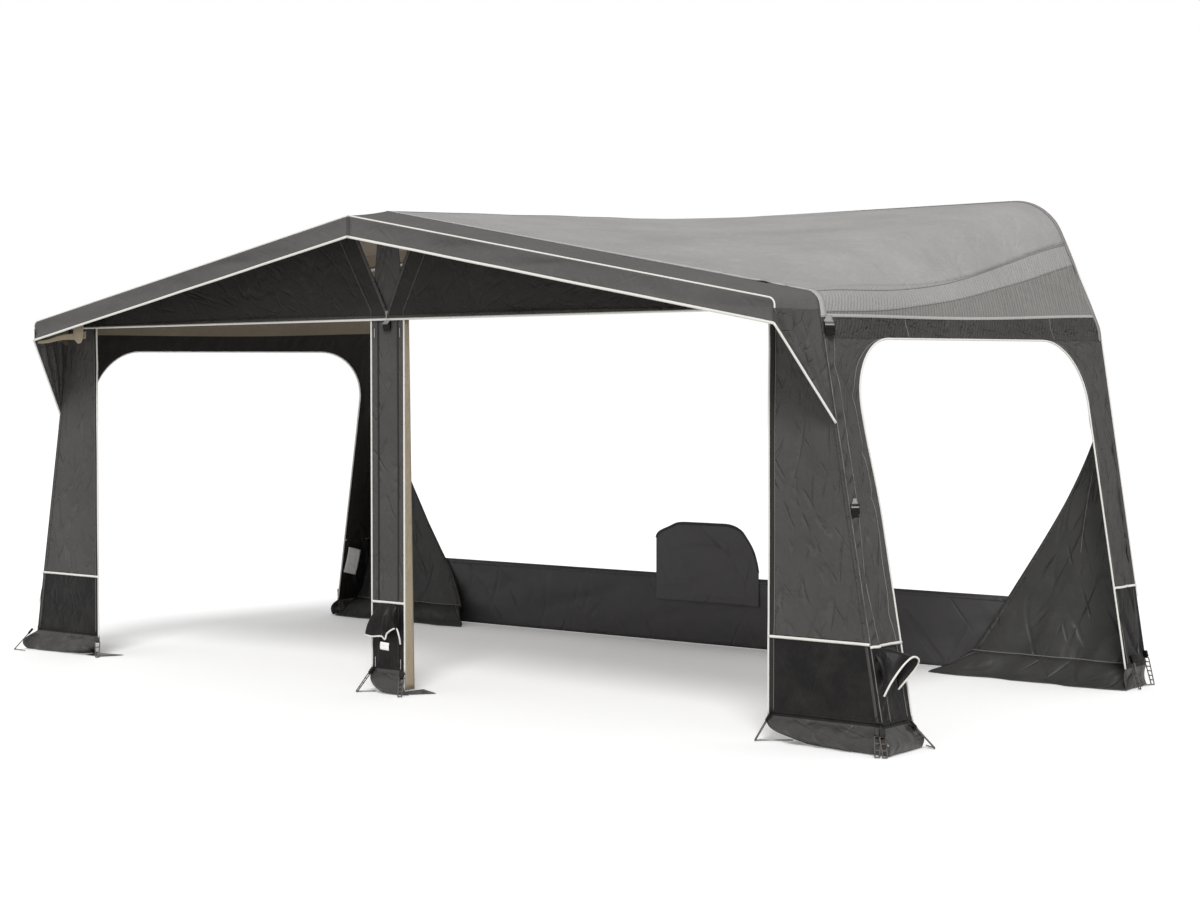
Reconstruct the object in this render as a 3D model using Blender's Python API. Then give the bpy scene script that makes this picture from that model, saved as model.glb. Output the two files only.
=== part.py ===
"""Caravan awning with a gabled front and a projecting visor, as its poles, brackets and fabric panels.

The origin is on the ground under the front centre upright. +X runs along the front to the right,
+Y runs from the front towards the caravan and +Z is up. Lengths are in metres.
"""
import math

import bmesh
import bpy
from mathutils import Matrix, Vector

# Outline of the awning
DEPTH = 2.50                 # front upright line to the caravan side
RAIL_HEIGHT = 2.40           # awning rail above the ground
EAVE_HALF = 2.42             # half width of the front at its eaves, which the other widths follow
RAIL_CORNER_INSET = 0.265
RAIL_CORNER_HALF = EAVE_HALF - RAIL_CORNER_INSET   # where the level rail, carried on, meets its falling run
RAIL_CORNER_RADIUS = 0.29
REAR_BEND_SPREAD = 0.014
REAR_BEND_HALF = EAVE_HALF + REAR_BEND_SPREAD      # bend between the falling run and the side wall
REAR_BEND_DROP = 0.648
REAR_BEND_HEIGHT = RAIL_HEIGHT - REAR_BEND_DROP
REAR_BEND_RADIUS = 0.30
REAR_FOOT_SPREAD = 0.29
REAR_FOOT_HALF = EAVE_HALF + REAR_FOOT_SPREAD
EAVE_HEIGHT = 1.835
GABLE_RISE = 0.452
PEAK_HEIGHT = EAVE_HEIGHT + GABLE_RISE
EAVE_RADIUS = 0.07
FRONT_FOOT_SPREAD = 0.33
FRONT_FOOT_HALF = EAVE_HALF + FRONT_FOOT_SPREAD

# Fabric
CLOTH = 0.003
SEAM = 0.0006                # gap left between two panels where they are sewn
MERGE_DISTANCE = 1e-6
INDEX_MARGIN = 1e-6
SEAT = 0.0003                # gap left between a piece and what it rests on
SHOULDER_SAG = 0.075
EAVE_SAG = 0.012
ROOF_SAG = 0.018
FOLD_DEPTH = 0.006
CORNER_FOLDS = 3
CENTRE_FOLDS = 4

# Seams on the roof, measured round the edge from its middle
SEAM_INSET_FRONT = 0.02
SEAM_INSET_REAR = 0.06
SEAM_RUN_FRONT = EAVE_HALF - SEAM_INSET_FRONT
SEAM_RUN_REAR = EAVE_HALF - SEAM_INSET_REAR
EAVE_LINE_DROP = 0.095
EAVE_LINE_FRONT = EAVE_HEIGHT - EAVE_LINE_DROP
EAVE_LINE_RISE = 0.048
EAVE_LINE_REAR = REAR_BEND_HEIGHT + EAVE_LINE_RISE
BAND_DROP_FRONT = 0.184
BAND_FRONT = EAVE_HEIGHT - BAND_DROP_FRONT         # top of the side opening, at its front end
BAND_DROP_REAR = 0.071
BAND_REAR = REAR_BEND_HEIGHT - BAND_DROP_REAR
SHOULDER_SHARE = 0.6         # of the side's rows, those above the eave line
STRAIGHT_SHARE = 0.75        # of a gable's columns, those on its straight run
SAG_START_SHARE = 0.86
SAG_END_SHARE = 0.8
SEAM_STEP = 0.0024           # from the roof's lower edge to the side piece sewn to it

# Visor
VISOR_REACH = 0.26
VISOR_PEAK_DROP = 0.037
VISOR_PEAK = PEAK_HEIGHT - VISOR_PEAK_DROP
VISOR_INSET = 0.035
VISOR_HALF = EAVE_HALF - VISOR_INSET
VISOR_CORNER_DROP = 0.031
VISOR_CORNER_HEIGHT = EAVE_HEIGHT - VISOR_CORNER_DROP
VISOR_CORNER_RADIUS = 0.03
VISOR_END_DROP = 0.069
VISOR_END_HEIGHT = EAVE_HEIGHT - VISOR_END_DROP    # lower edge of the visor's top at its end
VISOR_END_CLEARANCE = 0.045  # from the visor's end to the boss that holds its pole
FASCIA_DEPTH = 0.098
VISOR_EDGE_SHARE = 0.05      # how much of the visor's top and fascia its rounded edge takes
GUSSET_SPREAD = 0.089
GUSSET_HALF = EAVE_HALF + GUSSET_SPREAD
GUSSET_DROP = 0.525
GUSSET_HEIGHT = EAVE_HEIGHT - GUSSET_DROP

# Front openings
GABLE_DROP = 0.059
GABLE_BOTTOM = EAVE_HEIGHT - GABLE_DROP
GABLE_END_RISE = 0.049       # from the eave line to the gable's upper corner
DOOR_INSET = 0.232
DOOR_HALF = EAVE_HALF - DOOR_INSET
POST_HALF = 0.108
POST_TOP_HALF = 0.070
NECK_LEFT = 0.240
NECK_RIGHT = 0.210
NECK_RISE = 0.034            # closed length of the zip below the neck
KNEE_SHARE = 1.0 / 3.0
WINDOW_TOP = 0.431           # top of the plastic band along the foot of each panel
FLAP_TOP = 0.102             # top of the mud flap
FLAP_SPREAD = 0.045
FLAP_ROW_SHARES = (0.0, 0.33, 0.66)
FLAP_JOIN_SHARE = 0.95       # how far a side flap follows the spread of the front one at the corner

# Side openings
OPEN_FRONT_LOW = 0.21
OPEN_FRONT_HIGH = 0.175
OPEN_FRONT_ARC = 0.295
OPEN_REAR_INSET = 0.25
OPEN_REAR = DEPTH - OPEN_REAR_INSET
OPEN_REAR_ARC = 0.386
OPEN_ARC_DROP = 0.281
OPEN_ARC_START = BAND_FRONT - OPEN_ARC_DROP
OPEN_STRAIGHT = 0.90

# Draught flap beside the caravan, skirt and wheel cover
DRAUGHT_TOP_DROP = 0.422
DRAUGHT_TOP = REAR_BEND_HEIGHT - DRAUGHT_TOP_DROP
DRAUGHT_SETBACK = 0.030      # from the caravan side to the flap
DRAUGHT_FOOT_INSET = 0.58
DRAUGHT_FOOT_HALF = EAVE_HALF - DRAUGHT_FOOT_INSET # inner end of the flap at the mud flap seam
DRAUGHT_TAIL_INSET = 0.73
DRAUGHT_TAIL_HALF = EAVE_HALF - DRAUGHT_TAIL_INSET
DRAUGHT_LEAN_HEIGHT = 0.36
DRAUGHT_LEAN = 0.06
DRAUGHT_TOE = 0.22
DRAUGHT_TOE_RISE = 0.036
DRAUGHT_TOE_SHARES = (1.0, 0.55, 0.25)
DRAUGHT_CURVE_SHARE = 0.35
DRAUGHT_FOLD = 0.018         # how far its folds stand out at the ground
DRAUGHT_FOLDS = 3
SKIRT_INSET = 0.12
SKIRT_HALF = EAVE_HALF - SKIRT_INSET
SKIRT_HEIGHT = 0.39
WHEEL_COVER_BOTTOM = 0.235
WHEEL_COVER_EDGE = (
    (-0.305, 0.600), (-0.286, 0.630), (-0.214, 0.661), (-0.142, 0.687), (-0.020, 0.690), (0.100, 0.690),
    (0.215, 0.687), (0.290, 0.659), (0.335, 0.611), (0.372, 0.557), (0.395, 0.495), (0.410, 0.430))
KEDER_RADIUS = 0.004

# Poles
POLE_RADIUS = 0.014
POLE_WALL = 0.0012
SLIDE_GAP = 0.0003
INNER_POLE_RADIUS = POLE_RADIUS - POLE_WALL - SLIDE_GAP
INNER_POLE_WALL = 0.0012
HUB_RADIUS = 0.0165
SPIGOT_LENGTH = 0.050
POLE_START = 0.0225          # from a bracket's centre to the end of the tube on its spigot
FRONT_STANDOFF = 0.0285      # from the upright's axis to the outer face of the front fabric
UPRIGHT_SPLIT = 0.92         # height of the clamp on each front upright
UPRIGHT_OVERLAP = 0.34
POLE_SIDES = 16
THIN_POLE_SIDES = 12
SHARP_ANGLE = math.radians(35.0)

# Clamp with a cam lever
COLLAR_RADIUS = 0.019
COLLAR_LENGTH = 0.050
COLLAR_LIP = 0.010
EAR_INNER = 0.0060
EAR_THICKNESS = 0.0040
EAR_ROOT = 0.0140
EAR_HEIGHT = 0.013
PIVOT_OUT = 0.0250
PIVOT_UP = 0.028
PIN_RADIUS = 0.0025
CAM_RADIUS = 0.0055
LEVER_LENGTH = 0.058
LEVER_THICKNESS = 0.0040
LEVER_CURL = 0.006

# Feet
FOOT_RADIUS = 0.021
FOOT_FLANGE = 0.010
FOOT_SLEEVE_WALL = 0.0035
FOOT_HEIGHT = 0.060

# Roof poles and the brackets that they meet on the caravan
ROOF_POLE_REAR_INSET = 0.92
ROOF_POLE_REAR_HALF = EAVE_HALF - ROOF_POLE_REAR_INSET
ROOF_POLE_REAR_DROP = 0.080
ROOF_POLE_MIDDLE_DROP = 0.036
ROOF_SPLIT_SHARE = 0.56
ROOF_OVERLAP = 0.30
BRACKET_WIDTH = 0.050
BRACKET_HEIGHT = 0.050
BRACKET_PLATE = 0.009
STUD_LENGTH = 0.040
STUD_GAP = 0.0004

# Visor poles
ARM_RADIUS = 0.011
ARM_WALL = 0.0012
BOSS_RADIUS = 0.013
BOSS_HEIGHT = 0.030
VISOR_POLE_RADIUS = 0.008

# Zip slider and strap buckle
SLIDER_WIDTH = 0.014
SLIDER_LENGTH = 0.022
SLIDER_THICKNESS = 0.004
PULL_LENGTH = 0.034
PULL_THICKNESS = 0.0015
BUCKLE_WIDTH = 0.046
BUCKLE_HEIGHT = 0.030
BUCKLE_DEPTH = 0.010
BUCKLE_WALL = 0.0022
BUCKLE_DROP = 0.014
TONGUE_BAR = 0.012
TONGUE_GAP = 0.0004

# Places worked out from the sizes above
FRONT_Y = -FRONT_STANDOFF
BODY_Y = FRONT_Y + CLOTH + SEAM
REAR_Y = DEPTH - 2.0 * KEDER_RADIUS - SEAM
VISOR_Y = FRONT_Y - VISOR_REACH
SIDE_SHARES = {"right": 1.0, "left": -1.0}


def clear_scene():
    """Removes whatever the scene holds before the awning is built."""
    for item in list(bpy.data.objects):
        bpy.data.objects.remove(item, do_unlink=True)


def make_material(name, colour, roughness, metallic=0.0):
    material = bpy.data.materials.new(name)
    material.use_nodes = True
    shader = material.node_tree.nodes["Principled BSDF"]
    shader.inputs["Base Color"].default_value = (*colour, 1.0)
    shader.inputs["Roughness"].default_value = roughness
    shader.inputs["Metallic"].default_value = metallic
    return material


def make_materials():
    return {
        "roof": make_material("light grey canopy cloth", (0.38, 0.37, 0.36), 0.85),
        "wall": make_material("dark grey wall cloth", (0.072, 0.069, 0.067), 0.85),
        "fascia": make_material("grey visor cloth", (0.11, 0.105, 0.10), 0.85),
        "skirt": make_material("grey coated skirt", (0.06, 0.06, 0.06), 0.6),
        "steel": make_material("zinc plated tube", (0.55, 0.55, 0.56), 0.35, 1.0),
        "plastic": make_material("black moulded plastic", (0.02, 0.02, 0.02), 0.5),
        "keder": make_material("white beading", (0.8, 0.79, 0.77), 0.5),
    }


# Plane geometry

class Profile:
    """A line in the X-Z plane, read by its length from the first point."""

    def __init__(self, points):
        self.points = [Vector(point) for point in points]
        self.runs = [0.0]
        for before, after in zip(self.points, self.points[1:]):
            self.runs.append(self.runs[-1] + (after - before).length)

    def at(self, run):
        run = min(max(run, 0.0), self.runs[-1])
        for index in range(len(self.points) - 1):
            if run <= self.runs[index + 1]:
                step = self.runs[index + 1] - self.runs[index]
                share = (run - self.runs[index]) / step
                return self.points[index].lerp(self.points[index + 1], share)
        return self.points[-1].copy()

    def run_at_height(self, height):
        """Length at which the falling line passes a height."""
        for index in range(len(self.points) - 1):
            upper, lower = self.points[index], self.points[index + 1]
            if upper.y >= height > lower.y:
                share = (upper.y - height) / (upper.y - lower.y)
                return self.runs[index] + share * (self.runs[index + 1] - self.runs[index])
        return self.runs[-1]


def rounded_line(points, radii, steps=8):
    """The corners of a line, rounded with arcs."""
    result = [Vector(points[0])]
    for index in range(1, len(points) - 1):
        corner = Vector(points[index])
        back = (Vector(points[index - 1]) - corner).normalized()
        onward = (Vector(points[index + 1]) - corner).normalized()
        half = back.angle(onward) / 2.0
        reach = radii[index - 1] / math.tan(half)
        middle = corner + (back + onward).normalized() * radii[index - 1] / math.sin(half)
        start = corner + back * reach - middle
        end = corner + onward * reach - middle
        for step in range(steps + 1):
            result.append(middle + start.slerp(end, step / steps).normalized() * radii[index - 1])
    result.append(Vector(points[-1]))
    return result


def line_crossing(point_a, way_a, point_b, way_b):
    """Where two lines in a plane cross."""
    cross = way_a.x * way_b.y - way_a.y * way_b.x
    gap = point_b - point_a
    return point_a + way_a * ((gap.x * way_b.y - gap.y * way_b.x) / cross)


FRONT_PROFILE = Profile(rounded_line(
    [(0.0, PEAK_HEIGHT), (EAVE_HALF, EAVE_HEIGHT), (FRONT_FOOT_HALF, 0.0)], [EAVE_RADIUS]))
REAR_PROFILE = Profile(rounded_line(
    [(0.0, RAIL_HEIGHT), (RAIL_CORNER_HALF, RAIL_HEIGHT), (REAR_BEND_HALF, REAR_BEND_HEIGHT),
     (REAR_FOOT_HALF, 0.0)], [RAIL_CORNER_RADIUS, REAR_BEND_RADIUS]))
VISOR_PROFILE = Profile(rounded_line(
    [(0.0, VISOR_PEAK), (VISOR_HALF, VISOR_CORNER_HEIGHT), (VISOR_HALF, VISOR_END_HEIGHT)],
    [VISOR_CORNER_RADIUS]))
ROOF_SLOPE = (PEAK_HEIGHT - EAVE_HEIGHT) / EAVE_HALF
VISOR_SLOPE = (VISOR_PEAK - VISOR_CORNER_HEIGHT) / VISOR_HALF
RIDGE_INSET = SEAM / 2.0 + CLOTH * ROOF_SLOPE
SIDE_SLOPE_FRONT = (FRONT_FOOT_HALF - EAVE_HALF) / EAVE_HEIGHT
SIDE_SLOPE_REAR = (REAR_FOOT_HALF - REAR_BEND_HALF) / REAR_BEND_HEIGHT


def depth_share(y):
    return (y - FRONT_Y) / (DEPTH - FRONT_Y)


def corner_x(z):
    """Half width of the front at a height, at the corner of the awning."""
    return FRONT_FOOT_HALF - SIDE_SLOPE_FRONT * z


def side_x(y, z):
    """Half width of the awning at the outer face of its side wall."""
    rear = REAR_FOOT_HALF - SIDE_SLOPE_REAR * z
    return corner_x(z) + (rear - corner_x(z)) * depth_share(y)


def band_height(y):
    """Height of the top of the side opening."""
    return BAND_FRONT + (BAND_REAR - BAND_FRONT) * depth_share(y)


def spaced_run(profile, end_run, share):
    """A run that keeps its last columns for the rounded corner and what follows."""
    bend = profile.runs[1]
    if share < STRAIGHT_SHARE:
        return bend * share / STRAIGHT_SHARE
    return mix(bend, end_run, (share - STRAIGHT_SHARE) / (1.0 - STRAIGHT_SHARE))


def smooth(share):
    share = min(max(share, 0.0), 1.0)
    return share * share * (3.0 - 2.0 * share)


def mix(first, second, share):
    return first + (second - first) * share


# Mesh helpers

def add_object(name, mesh, material, matrix=None):
    item = bpy.data.objects.new(name, mesh)
    mesh.materials.append(material)
    if matrix is not None:
        item.matrix_world = matrix
    bpy.context.scene.collection.objects.link(item)
    return item


def mesh_from(bm, name):
    mesh = bpy.data.meshes.new(name)
    bm.to_mesh(mesh)
    bm.free()
    return mesh


def panel(name, place, across, down, material, thickness=CLOTH, outward=None):
    """A sewn panel: a grid laid on a surface, given the cloth's thickness on its inner side."""
    bm = bmesh.new()
    bmesh.ops.create_grid(bm, x_segments=across, y_segments=down, size=1.0)
    for vert in bm.verts:
        vert.co = place((vert.co.x + 1.0) / 2.0, (vert.co.y + 1.0) / 2.0)
    bm.normal_update()
    if outward is None:
        middle = sum((vert.co for vert in bm.verts), Vector()) / len(bm.verts)
        outward = middle - Vector((0.0, DEPTH / 2.0, EAVE_HEIGHT / 2.0))
    if sum(face.normal.dot(outward) for face in bm.faces) < 0.0:
        bmesh.ops.reverse_faces(bm, faces=bm.faces[:])
    mesh = mesh_from(bm, name)
    mesh.shade_smooth()
    item = add_object(name, mesh, material)
    wall = item.modifiers.new("cloth thickness", "SOLIDIFY")
    wall.thickness = thickness
    wall.offset = -1.0
    return item


def axis_matrix(origin, along, toward=None):
    """Places a piece with its Z along a pole and its Y as near as can be to a direction."""
    z_axis = Vector(along).normalized()
    toward = Vector(toward) if toward is not None else Vector((0.0, 1.0, 0.0))
    x_axis = toward.cross(z_axis)
    if x_axis.length < MERGE_DISTANCE:
        x_axis = Vector((1.0, 0.0, 0.0))
    x_axis.normalize()
    y_axis = z_axis.cross(x_axis)
    matrix = Matrix((x_axis, y_axis, z_axis)).transposed().to_4x4()
    matrix.translation = Vector(origin)
    return matrix


def turned_bmesh(profile, sides=POLE_SIDES):
    """A closed outline of radius and height, turned round Z."""
    bm = bmesh.new()
    verts = [bm.verts.new((radius, 0.0, height)) for radius, height in profile]
    edges = [bm.edges.new((verts[i], verts[(i + 1) % len(verts)])) for i in range(len(verts))]
    bmesh.ops.spin(bm, geom=verts + edges, axis=(0.0, 0.0, 1.0), cent=(0.0, 0.0, 0.0),
                   angle=2.0 * math.pi, steps=sides, use_merge=True)
    bmesh.ops.remove_doubles(bm, verts=bm.verts[:], dist=MERGE_DISTANCE)
    loose = [edge for edge in bm.edges if not edge.link_faces]
    bmesh.ops.delete(bm, geom=loose, context="EDGES")
    bmesh.ops.recalc_face_normals(bm, faces=bm.faces[:])
    return bm


def turned(name, profile, matrix, material, sides=POLE_SIDES):
    mesh = mesh_from(turned_bmesh(profile, sides), name)
    mesh.shade_smooth()
    mesh.set_sharp_from_angle(angle=SHARP_ANGLE)
    return add_object(name, mesh, material, matrix)


def tube_profile(outer, wall, start, end):
    return [(outer, start), (outer, end), (outer - wall, end), (outer - wall, start)]


def extruded_bmesh(outline, low, high):
    """A flat outline in Y-Z carried along X from low to high."""
    bm = bmesh.new()
    face = bm.faces.new([bm.verts.new((low, y, z)) for y, z in outline])
    grown = bmesh.ops.extrude_face_region(bm, geom=[face])
    moved = [part for part in grown["geom"] if isinstance(part, bmesh.types.BMVert)]
    bmesh.ops.translate(bm, verts=moved, vec=(high - low, 0.0, 0.0))
    bmesh.ops.recalc_face_normals(bm, faces=bm.faces[:])
    return bm


def apply_modifiers(item):
    """Keeps the evaluated shape of a piece as its own mesh."""
    bpy.context.view_layer.update()
    graph = bpy.context.evaluated_depsgraph_get()
    mesh = bpy.data.meshes.new_from_object(item.evaluated_get(graph))
    item.modifiers.clear()
    item.data = mesh


def combine(item, tool_bmesh, operation):
    """Joins a shape to a piece, or cuts it away, both being in the piece's own space."""
    tool = bpy.data.objects.new("tool", mesh_from(tool_bmesh, "tool"))
    tool.matrix_world = item.matrix_world
    tool.hide_render = True
    tool.display_type = "WIRE"
    bpy.context.scene.collection.objects.link(tool)
    step = item.modifiers.new("combine", "BOOLEAN")
    step.operation = operation
    step.solver = "EXACT"
    step.object = tool
    apply_modifiers(item)
    bpy.data.objects.remove(tool, do_unlink=True)


# Where the brackets and the poles stand

def corner_hub():
    """Centre of a corner bracket, clear of the roof and of the side wall."""
    roof_way = Vector((EAVE_HALF, EAVE_HEIGHT - PEAK_HEIGHT)).normalized()
    side_way = Vector((FRONT_FOOT_HALF - EAVE_HALF, -EAVE_HEIGHT)).normalized()
    half = (math.pi - roof_way.angle(side_way)) / 2.0
    inset = EAVE_RADIUS - (EAVE_RADIUS - HUB_RADIUS - CLOTH - SEAM) * math.sin(half)
    roof_in = Vector((roof_way.y, -roof_way.x)) * inset
    side_in = Vector((side_way.y, -side_way.x)) * max(inset, FRONT_STANDOFF)
    corner = Vector((EAVE_HALF, EAVE_HEIGHT))
    return line_crossing(corner + roof_in, roof_way, corner + side_in, side_way)


HUB_DROP = (HUB_RADIUS + CLOTH + SEAT) * math.hypot(1.0, ROOF_SLOPE)
RIDGE_HUB = Vector((0.0, 0.0, PEAK_HEIGHT - HUB_DROP))
CORNER_HUB = Vector((corner_hub().x, 0.0, corner_hub().y))
CORNER_FOOT = Vector((CORNER_HUB.x + SIDE_SLOPE_FRONT * CORNER_HUB.z, 0.0, 0.0))
BOSS_Y = VISOR_Y + CLOTH + SEAT + BOSS_RADIUS + VISOR_EDGE_SHARE * VISOR_REACH
BOSS_DROP = ((CLOTH + SEAT + BOSS_HEIGHT / 2.0) * math.hypot(1.0, VISOR_SLOPE) + VISOR_SLOPE * BOSS_RADIUS
             + VISOR_EDGE_SHARE * FASCIA_DEPTH)
RIDGE_BOSS = Vector((0.0, BOSS_Y, VISOR_PEAK - BOSS_DROP))
CORNER_BOSS_X = VISOR_HALF - VISOR_END_CLEARANCE
CORNER_BOSS = Vector((CORNER_BOSS_X, BOSS_Y, VISOR_PEAK - VISOR_SLOPE * CORNER_BOSS_X - BOSS_DROP))
PLATE_Y = DEPTH - BRACKET_PLATE
MIDDLE_STUD = Vector((0.0, PLATE_Y, RAIL_HEIGHT - ROOF_POLE_MIDDLE_DROP))
CORNER_STUD = Vector((ROOF_POLE_REAR_HALF, PLATE_Y, RAIL_HEIGHT - ROOF_POLE_REAR_DROP))


def mirrored(point, sign):
    return Vector((point.x * sign, point.y, point.z))


# Poles, clamps and feet

def lever_outline():
    """Side view of a cam lever: a round cam that runs out into a curled handle pointing down."""
    outline = []
    for step in range(9):
        turn = math.radians(30.0 * step - 60.0)
        outline.append((PIVOT_OUT + CAM_RADIUS * math.cos(turn), PIVOT_UP + CAM_RADIUS * math.sin(turn)))
    inner = PIVOT_OUT - CAM_RADIUS + LEVER_THICKNESS / 2.0
    handle = []
    for step in range(1, 6):
        share = step / 5.0
        handle.append((share, LEVER_CURL * share * share))
    back = [(inner + curl, PIVOT_UP - LEVER_LENGTH * share) for share, curl in handle]
    front = [(inner + curl + LEVER_THICKNESS, PIVOT_UP - LEVER_LENGTH * share) for share, curl in handle]
    return outline + back + front[::-1]


def add_clamp_ears(upper):
    """Two drilled ears on the collar, which hold the lever's pin."""
    ear_end = PIVOT_OUT + EAR_HEIGHT / 2.0
    for sign in (1.0, -1.0):
        outline = [(EAR_ROOT, PIVOT_UP - EAR_HEIGHT / 2.0), (PIVOT_OUT, PIVOT_UP - EAR_HEIGHT / 2.0)]
        for turn in (-45.0, 0.0, 45.0):
            outline.append((PIVOT_OUT + EAR_HEIGHT / 2.0 * math.cos(math.radians(turn)),
                            PIVOT_UP + EAR_HEIGHT / 2.0 * math.sin(math.radians(turn))))
        outline += [(PIVOT_OUT, PIVOT_UP + EAR_HEIGHT / 2.0), (EAR_ROOT, PIVOT_UP + EAR_HEIGHT / 2.0)]
        near, far = sorted((sign * EAR_INNER, sign * (EAR_INNER + EAR_THICKNESS)))
        combine(upper, extruded_bmesh(outline, near, far), "UNION")
    hole = pin_bmesh(PIN_RADIUS + SEAT, ear_end)
    combine(upper, hole, "DIFFERENCE")


def pin_bmesh(radius, half_length):
    bm = bmesh.new()
    bmesh.ops.create_cone(bm, cap_ends=True, segments=THIN_POLE_SIDES, radius1=radius, radius2=radius,
                          depth=2.0 * half_length)
    turn = Matrix.Rotation(math.pi / 2.0, 4, "Y")
    bmesh.ops.transform(bm, matrix=Matrix.Translation((0.0, PIVOT_OUT, PIVOT_UP)) @ turn, verts=bm.verts[:])
    return bm


def clamped_tube(name, lower_end, upper_end, start_gap, toward, materials):
    """A tube with a clamp at its open end. Its own Z runs from the clamp to the bracket."""
    way = (upper_end - lower_end).normalized()
    length = (upper_end - lower_end).length - start_gap
    bore = POLE_RADIUS - POLE_WALL
    profile = [(COLLAR_RADIUS, -COLLAR_LIP), (COLLAR_RADIUS, COLLAR_LENGTH - COLLAR_LIP),
               (POLE_RADIUS, COLLAR_LENGTH), (POLE_RADIUS, length), (bore, length), (bore, -COLLAR_LIP)]
    item = turned(name, profile, axis_matrix(lower_end, way, toward), materials["steel"])
    add_clamp_ears(item)
    item.data.shade_smooth()
    item.data.set_sharp_from_angle(angle=SHARP_ANGLE)
    return item


def cam_lever(name, lower_end, upper_end, toward, materials):
    """The lever of a clamp, with its pin. Its origin is on the pin's axis."""
    bm = extruded_bmesh(lever_outline(), -EAR_INNER + SEAT, EAR_INNER - SEAT)
    matrix = axis_matrix(lower_end, upper_end - lower_end, toward)
    item = add_object(name, mesh_from(bm, name), materials["plastic"], matrix)
    combine(item, pin_bmesh(PIN_RADIUS, EAR_INNER + EAR_THICKNESS), "UNION")
    pivot = Vector((0.0, PIVOT_OUT, PIVOT_UP))
    item.data.transform(Matrix.Translation(-pivot))
    item.matrix_world = matrix @ Matrix.Translation(pivot)
    item.data.shade_smooth()
    item.data.set_sharp_from_angle(angle=SHARP_ANGLE)
    return item


def foot(name, ground, way, materials):
    """A plastic foot, turned on the pole's axis and cut flat where it meets the ground."""
    sleeve = INNER_POLE_RADIUS + SEAT
    outer = sleeve + FOOT_SLEEVE_WALL
    profile = [(FOOT_RADIUS, -FOOT_FLANGE), (FOOT_RADIUS, FOOT_FLANGE), (outer + FOOT_SLEEVE_WALL, 2.0 * FOOT_FLANGE),
               (outer, FOOT_HEIGHT), (sleeve, FOOT_HEIGHT), (sleeve, FOOT_FLANGE + SEAT),
               (0.0, FOOT_FLANGE + SEAT), (0.0, -FOOT_FLANGE)]
    bm = turned_bmesh(profile)
    matrix = axis_matrix(ground, way)
    bmesh.ops.transform(bm, matrix=matrix.to_3x3().to_4x4(), verts=bm.verts[:])
    cut = bmesh.ops.bisect_plane(bm, geom=bm.verts[:] + bm.edges[:] + bm.faces[:], plane_co=(0.0, 0.0, 0.0),
                                 plane_no=(0.0, 0.0, 1.0), clear_inner=True)
    rim = [part for part in cut["geom_cut"] if isinstance(part, bmesh.types.BMEdge)]
    bmesh.ops.contextual_create(bm, geom=rim)
    bmesh.ops.recalc_face_normals(bm, faces=bm.faces[:])
    item = add_object(name, mesh_from(bm, name), materials["plastic"], Matrix.Translation(ground))
    item.data.shade_smooth()
    item.data.set_sharp_from_angle(angle=SHARP_ANGLE)


def upright(label, hub, ground, materials):
    """A telescopic front upright: tube with clamp, inner tube, foot and lever."""
    way = (hub - ground).normalized()
    split = ground + way * (UPRIGHT_SPLIT / way.z)
    inward = Vector((0.0, 1.0, 0.0))
    clamped_tube(f"{label}_upright_upper", split, hub, POLE_START, inward, materials)
    cam_lever(f"{label}_upright_lever", split, hub, inward, materials)
    inner_length = (split - ground).length + UPRIGHT_OVERLAP
    profile = tube_profile(INNER_POLE_RADIUS, INNER_POLE_WALL, FOOT_FLANGE + 2.0 * SEAT, inner_length)
    turned(f"{label}_upright_lower", profile, axis_matrix(ground, way), materials["steel"])
    foot(f"{label}_foot", ground, way, materials)


def bracket(name, centre, ways, arm_way, materials):
    """A pole bracket: a round hub with a spigot for each pole."""
    spigot = INNER_POLE_RADIUS
    bm = bmesh.new()
    bmesh.ops.create_icosphere(bm, subdivisions=2, radius=HUB_RADIUS)
    item = add_object(name, mesh_from(bm, name), materials["steel"], Matrix.Translation(centre))
    spigots = [(way, spigot) for way in ways] + [(arm_way, ARM_RADIUS - ARM_WALL - SLIDE_GAP)]
    for way, radius in spigots:
        rod = bmesh.new()
        bmesh.ops.create_cone(rod, cap_ends=True, segments=POLE_SIDES, radius1=radius, radius2=radius,
                              depth=SPIGOT_LENGTH)
        bmesh.ops.translate(rod, verts=rod.verts[:], vec=(0.0, 0.0, SPIGOT_LENGTH / 2.0))
        bmesh.ops.transform(rod, matrix=axis_matrix((0.0, 0.0, 0.0), way), verts=rod.verts[:])
        combine(item, rod, "UNION")
    item.data.shade_smooth()
    item.data.set_sharp_from_angle(angle=SHARP_ANGLE)


def rafter(name, start, end, materials):
    way = (end - start).normalized()
    length = (end - start).length
    profile = tube_profile(POLE_RADIUS, POLE_WALL, POLE_START, length - POLE_START)
    turned(name, profile, axis_matrix(start, way), materials["steel"])


def roof_pole(label, hub, stud, materials):
    """A roof pole that telescopes against its bracket on the caravan."""
    span = stud - hub
    way = span.normalized()
    split = hub + span * ROOF_SPLIT_SHARE
    below = Vector((0.0, 0.0, -1.0))
    clamped_tube(f"{label}_roof_pole_outer", split, hub, POLE_START, below, materials)
    cam_lever(f"{label}_roof_pole_lever", split, hub, below, materials)
    end_gap = SEAT + INNER_POLE_RADIUS * lean_of(way)
    near = (split - hub).length - ROOF_OVERLAP
    profile = tube_profile(INNER_POLE_RADIUS, INNER_POLE_WALL, near, span.length - end_gap)
    turned(f"{label}_roof_pole_inner", profile, axis_matrix(hub, way), materials["steel"])
    rail_bracket(f"{label}_rail_bracket", stud, way, materials)


def lean_of(way):
    """How far a pole leans away from square to the caravan side, as a slope."""
    return math.sqrt(1.0 - way.y * way.y) / way.y


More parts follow.
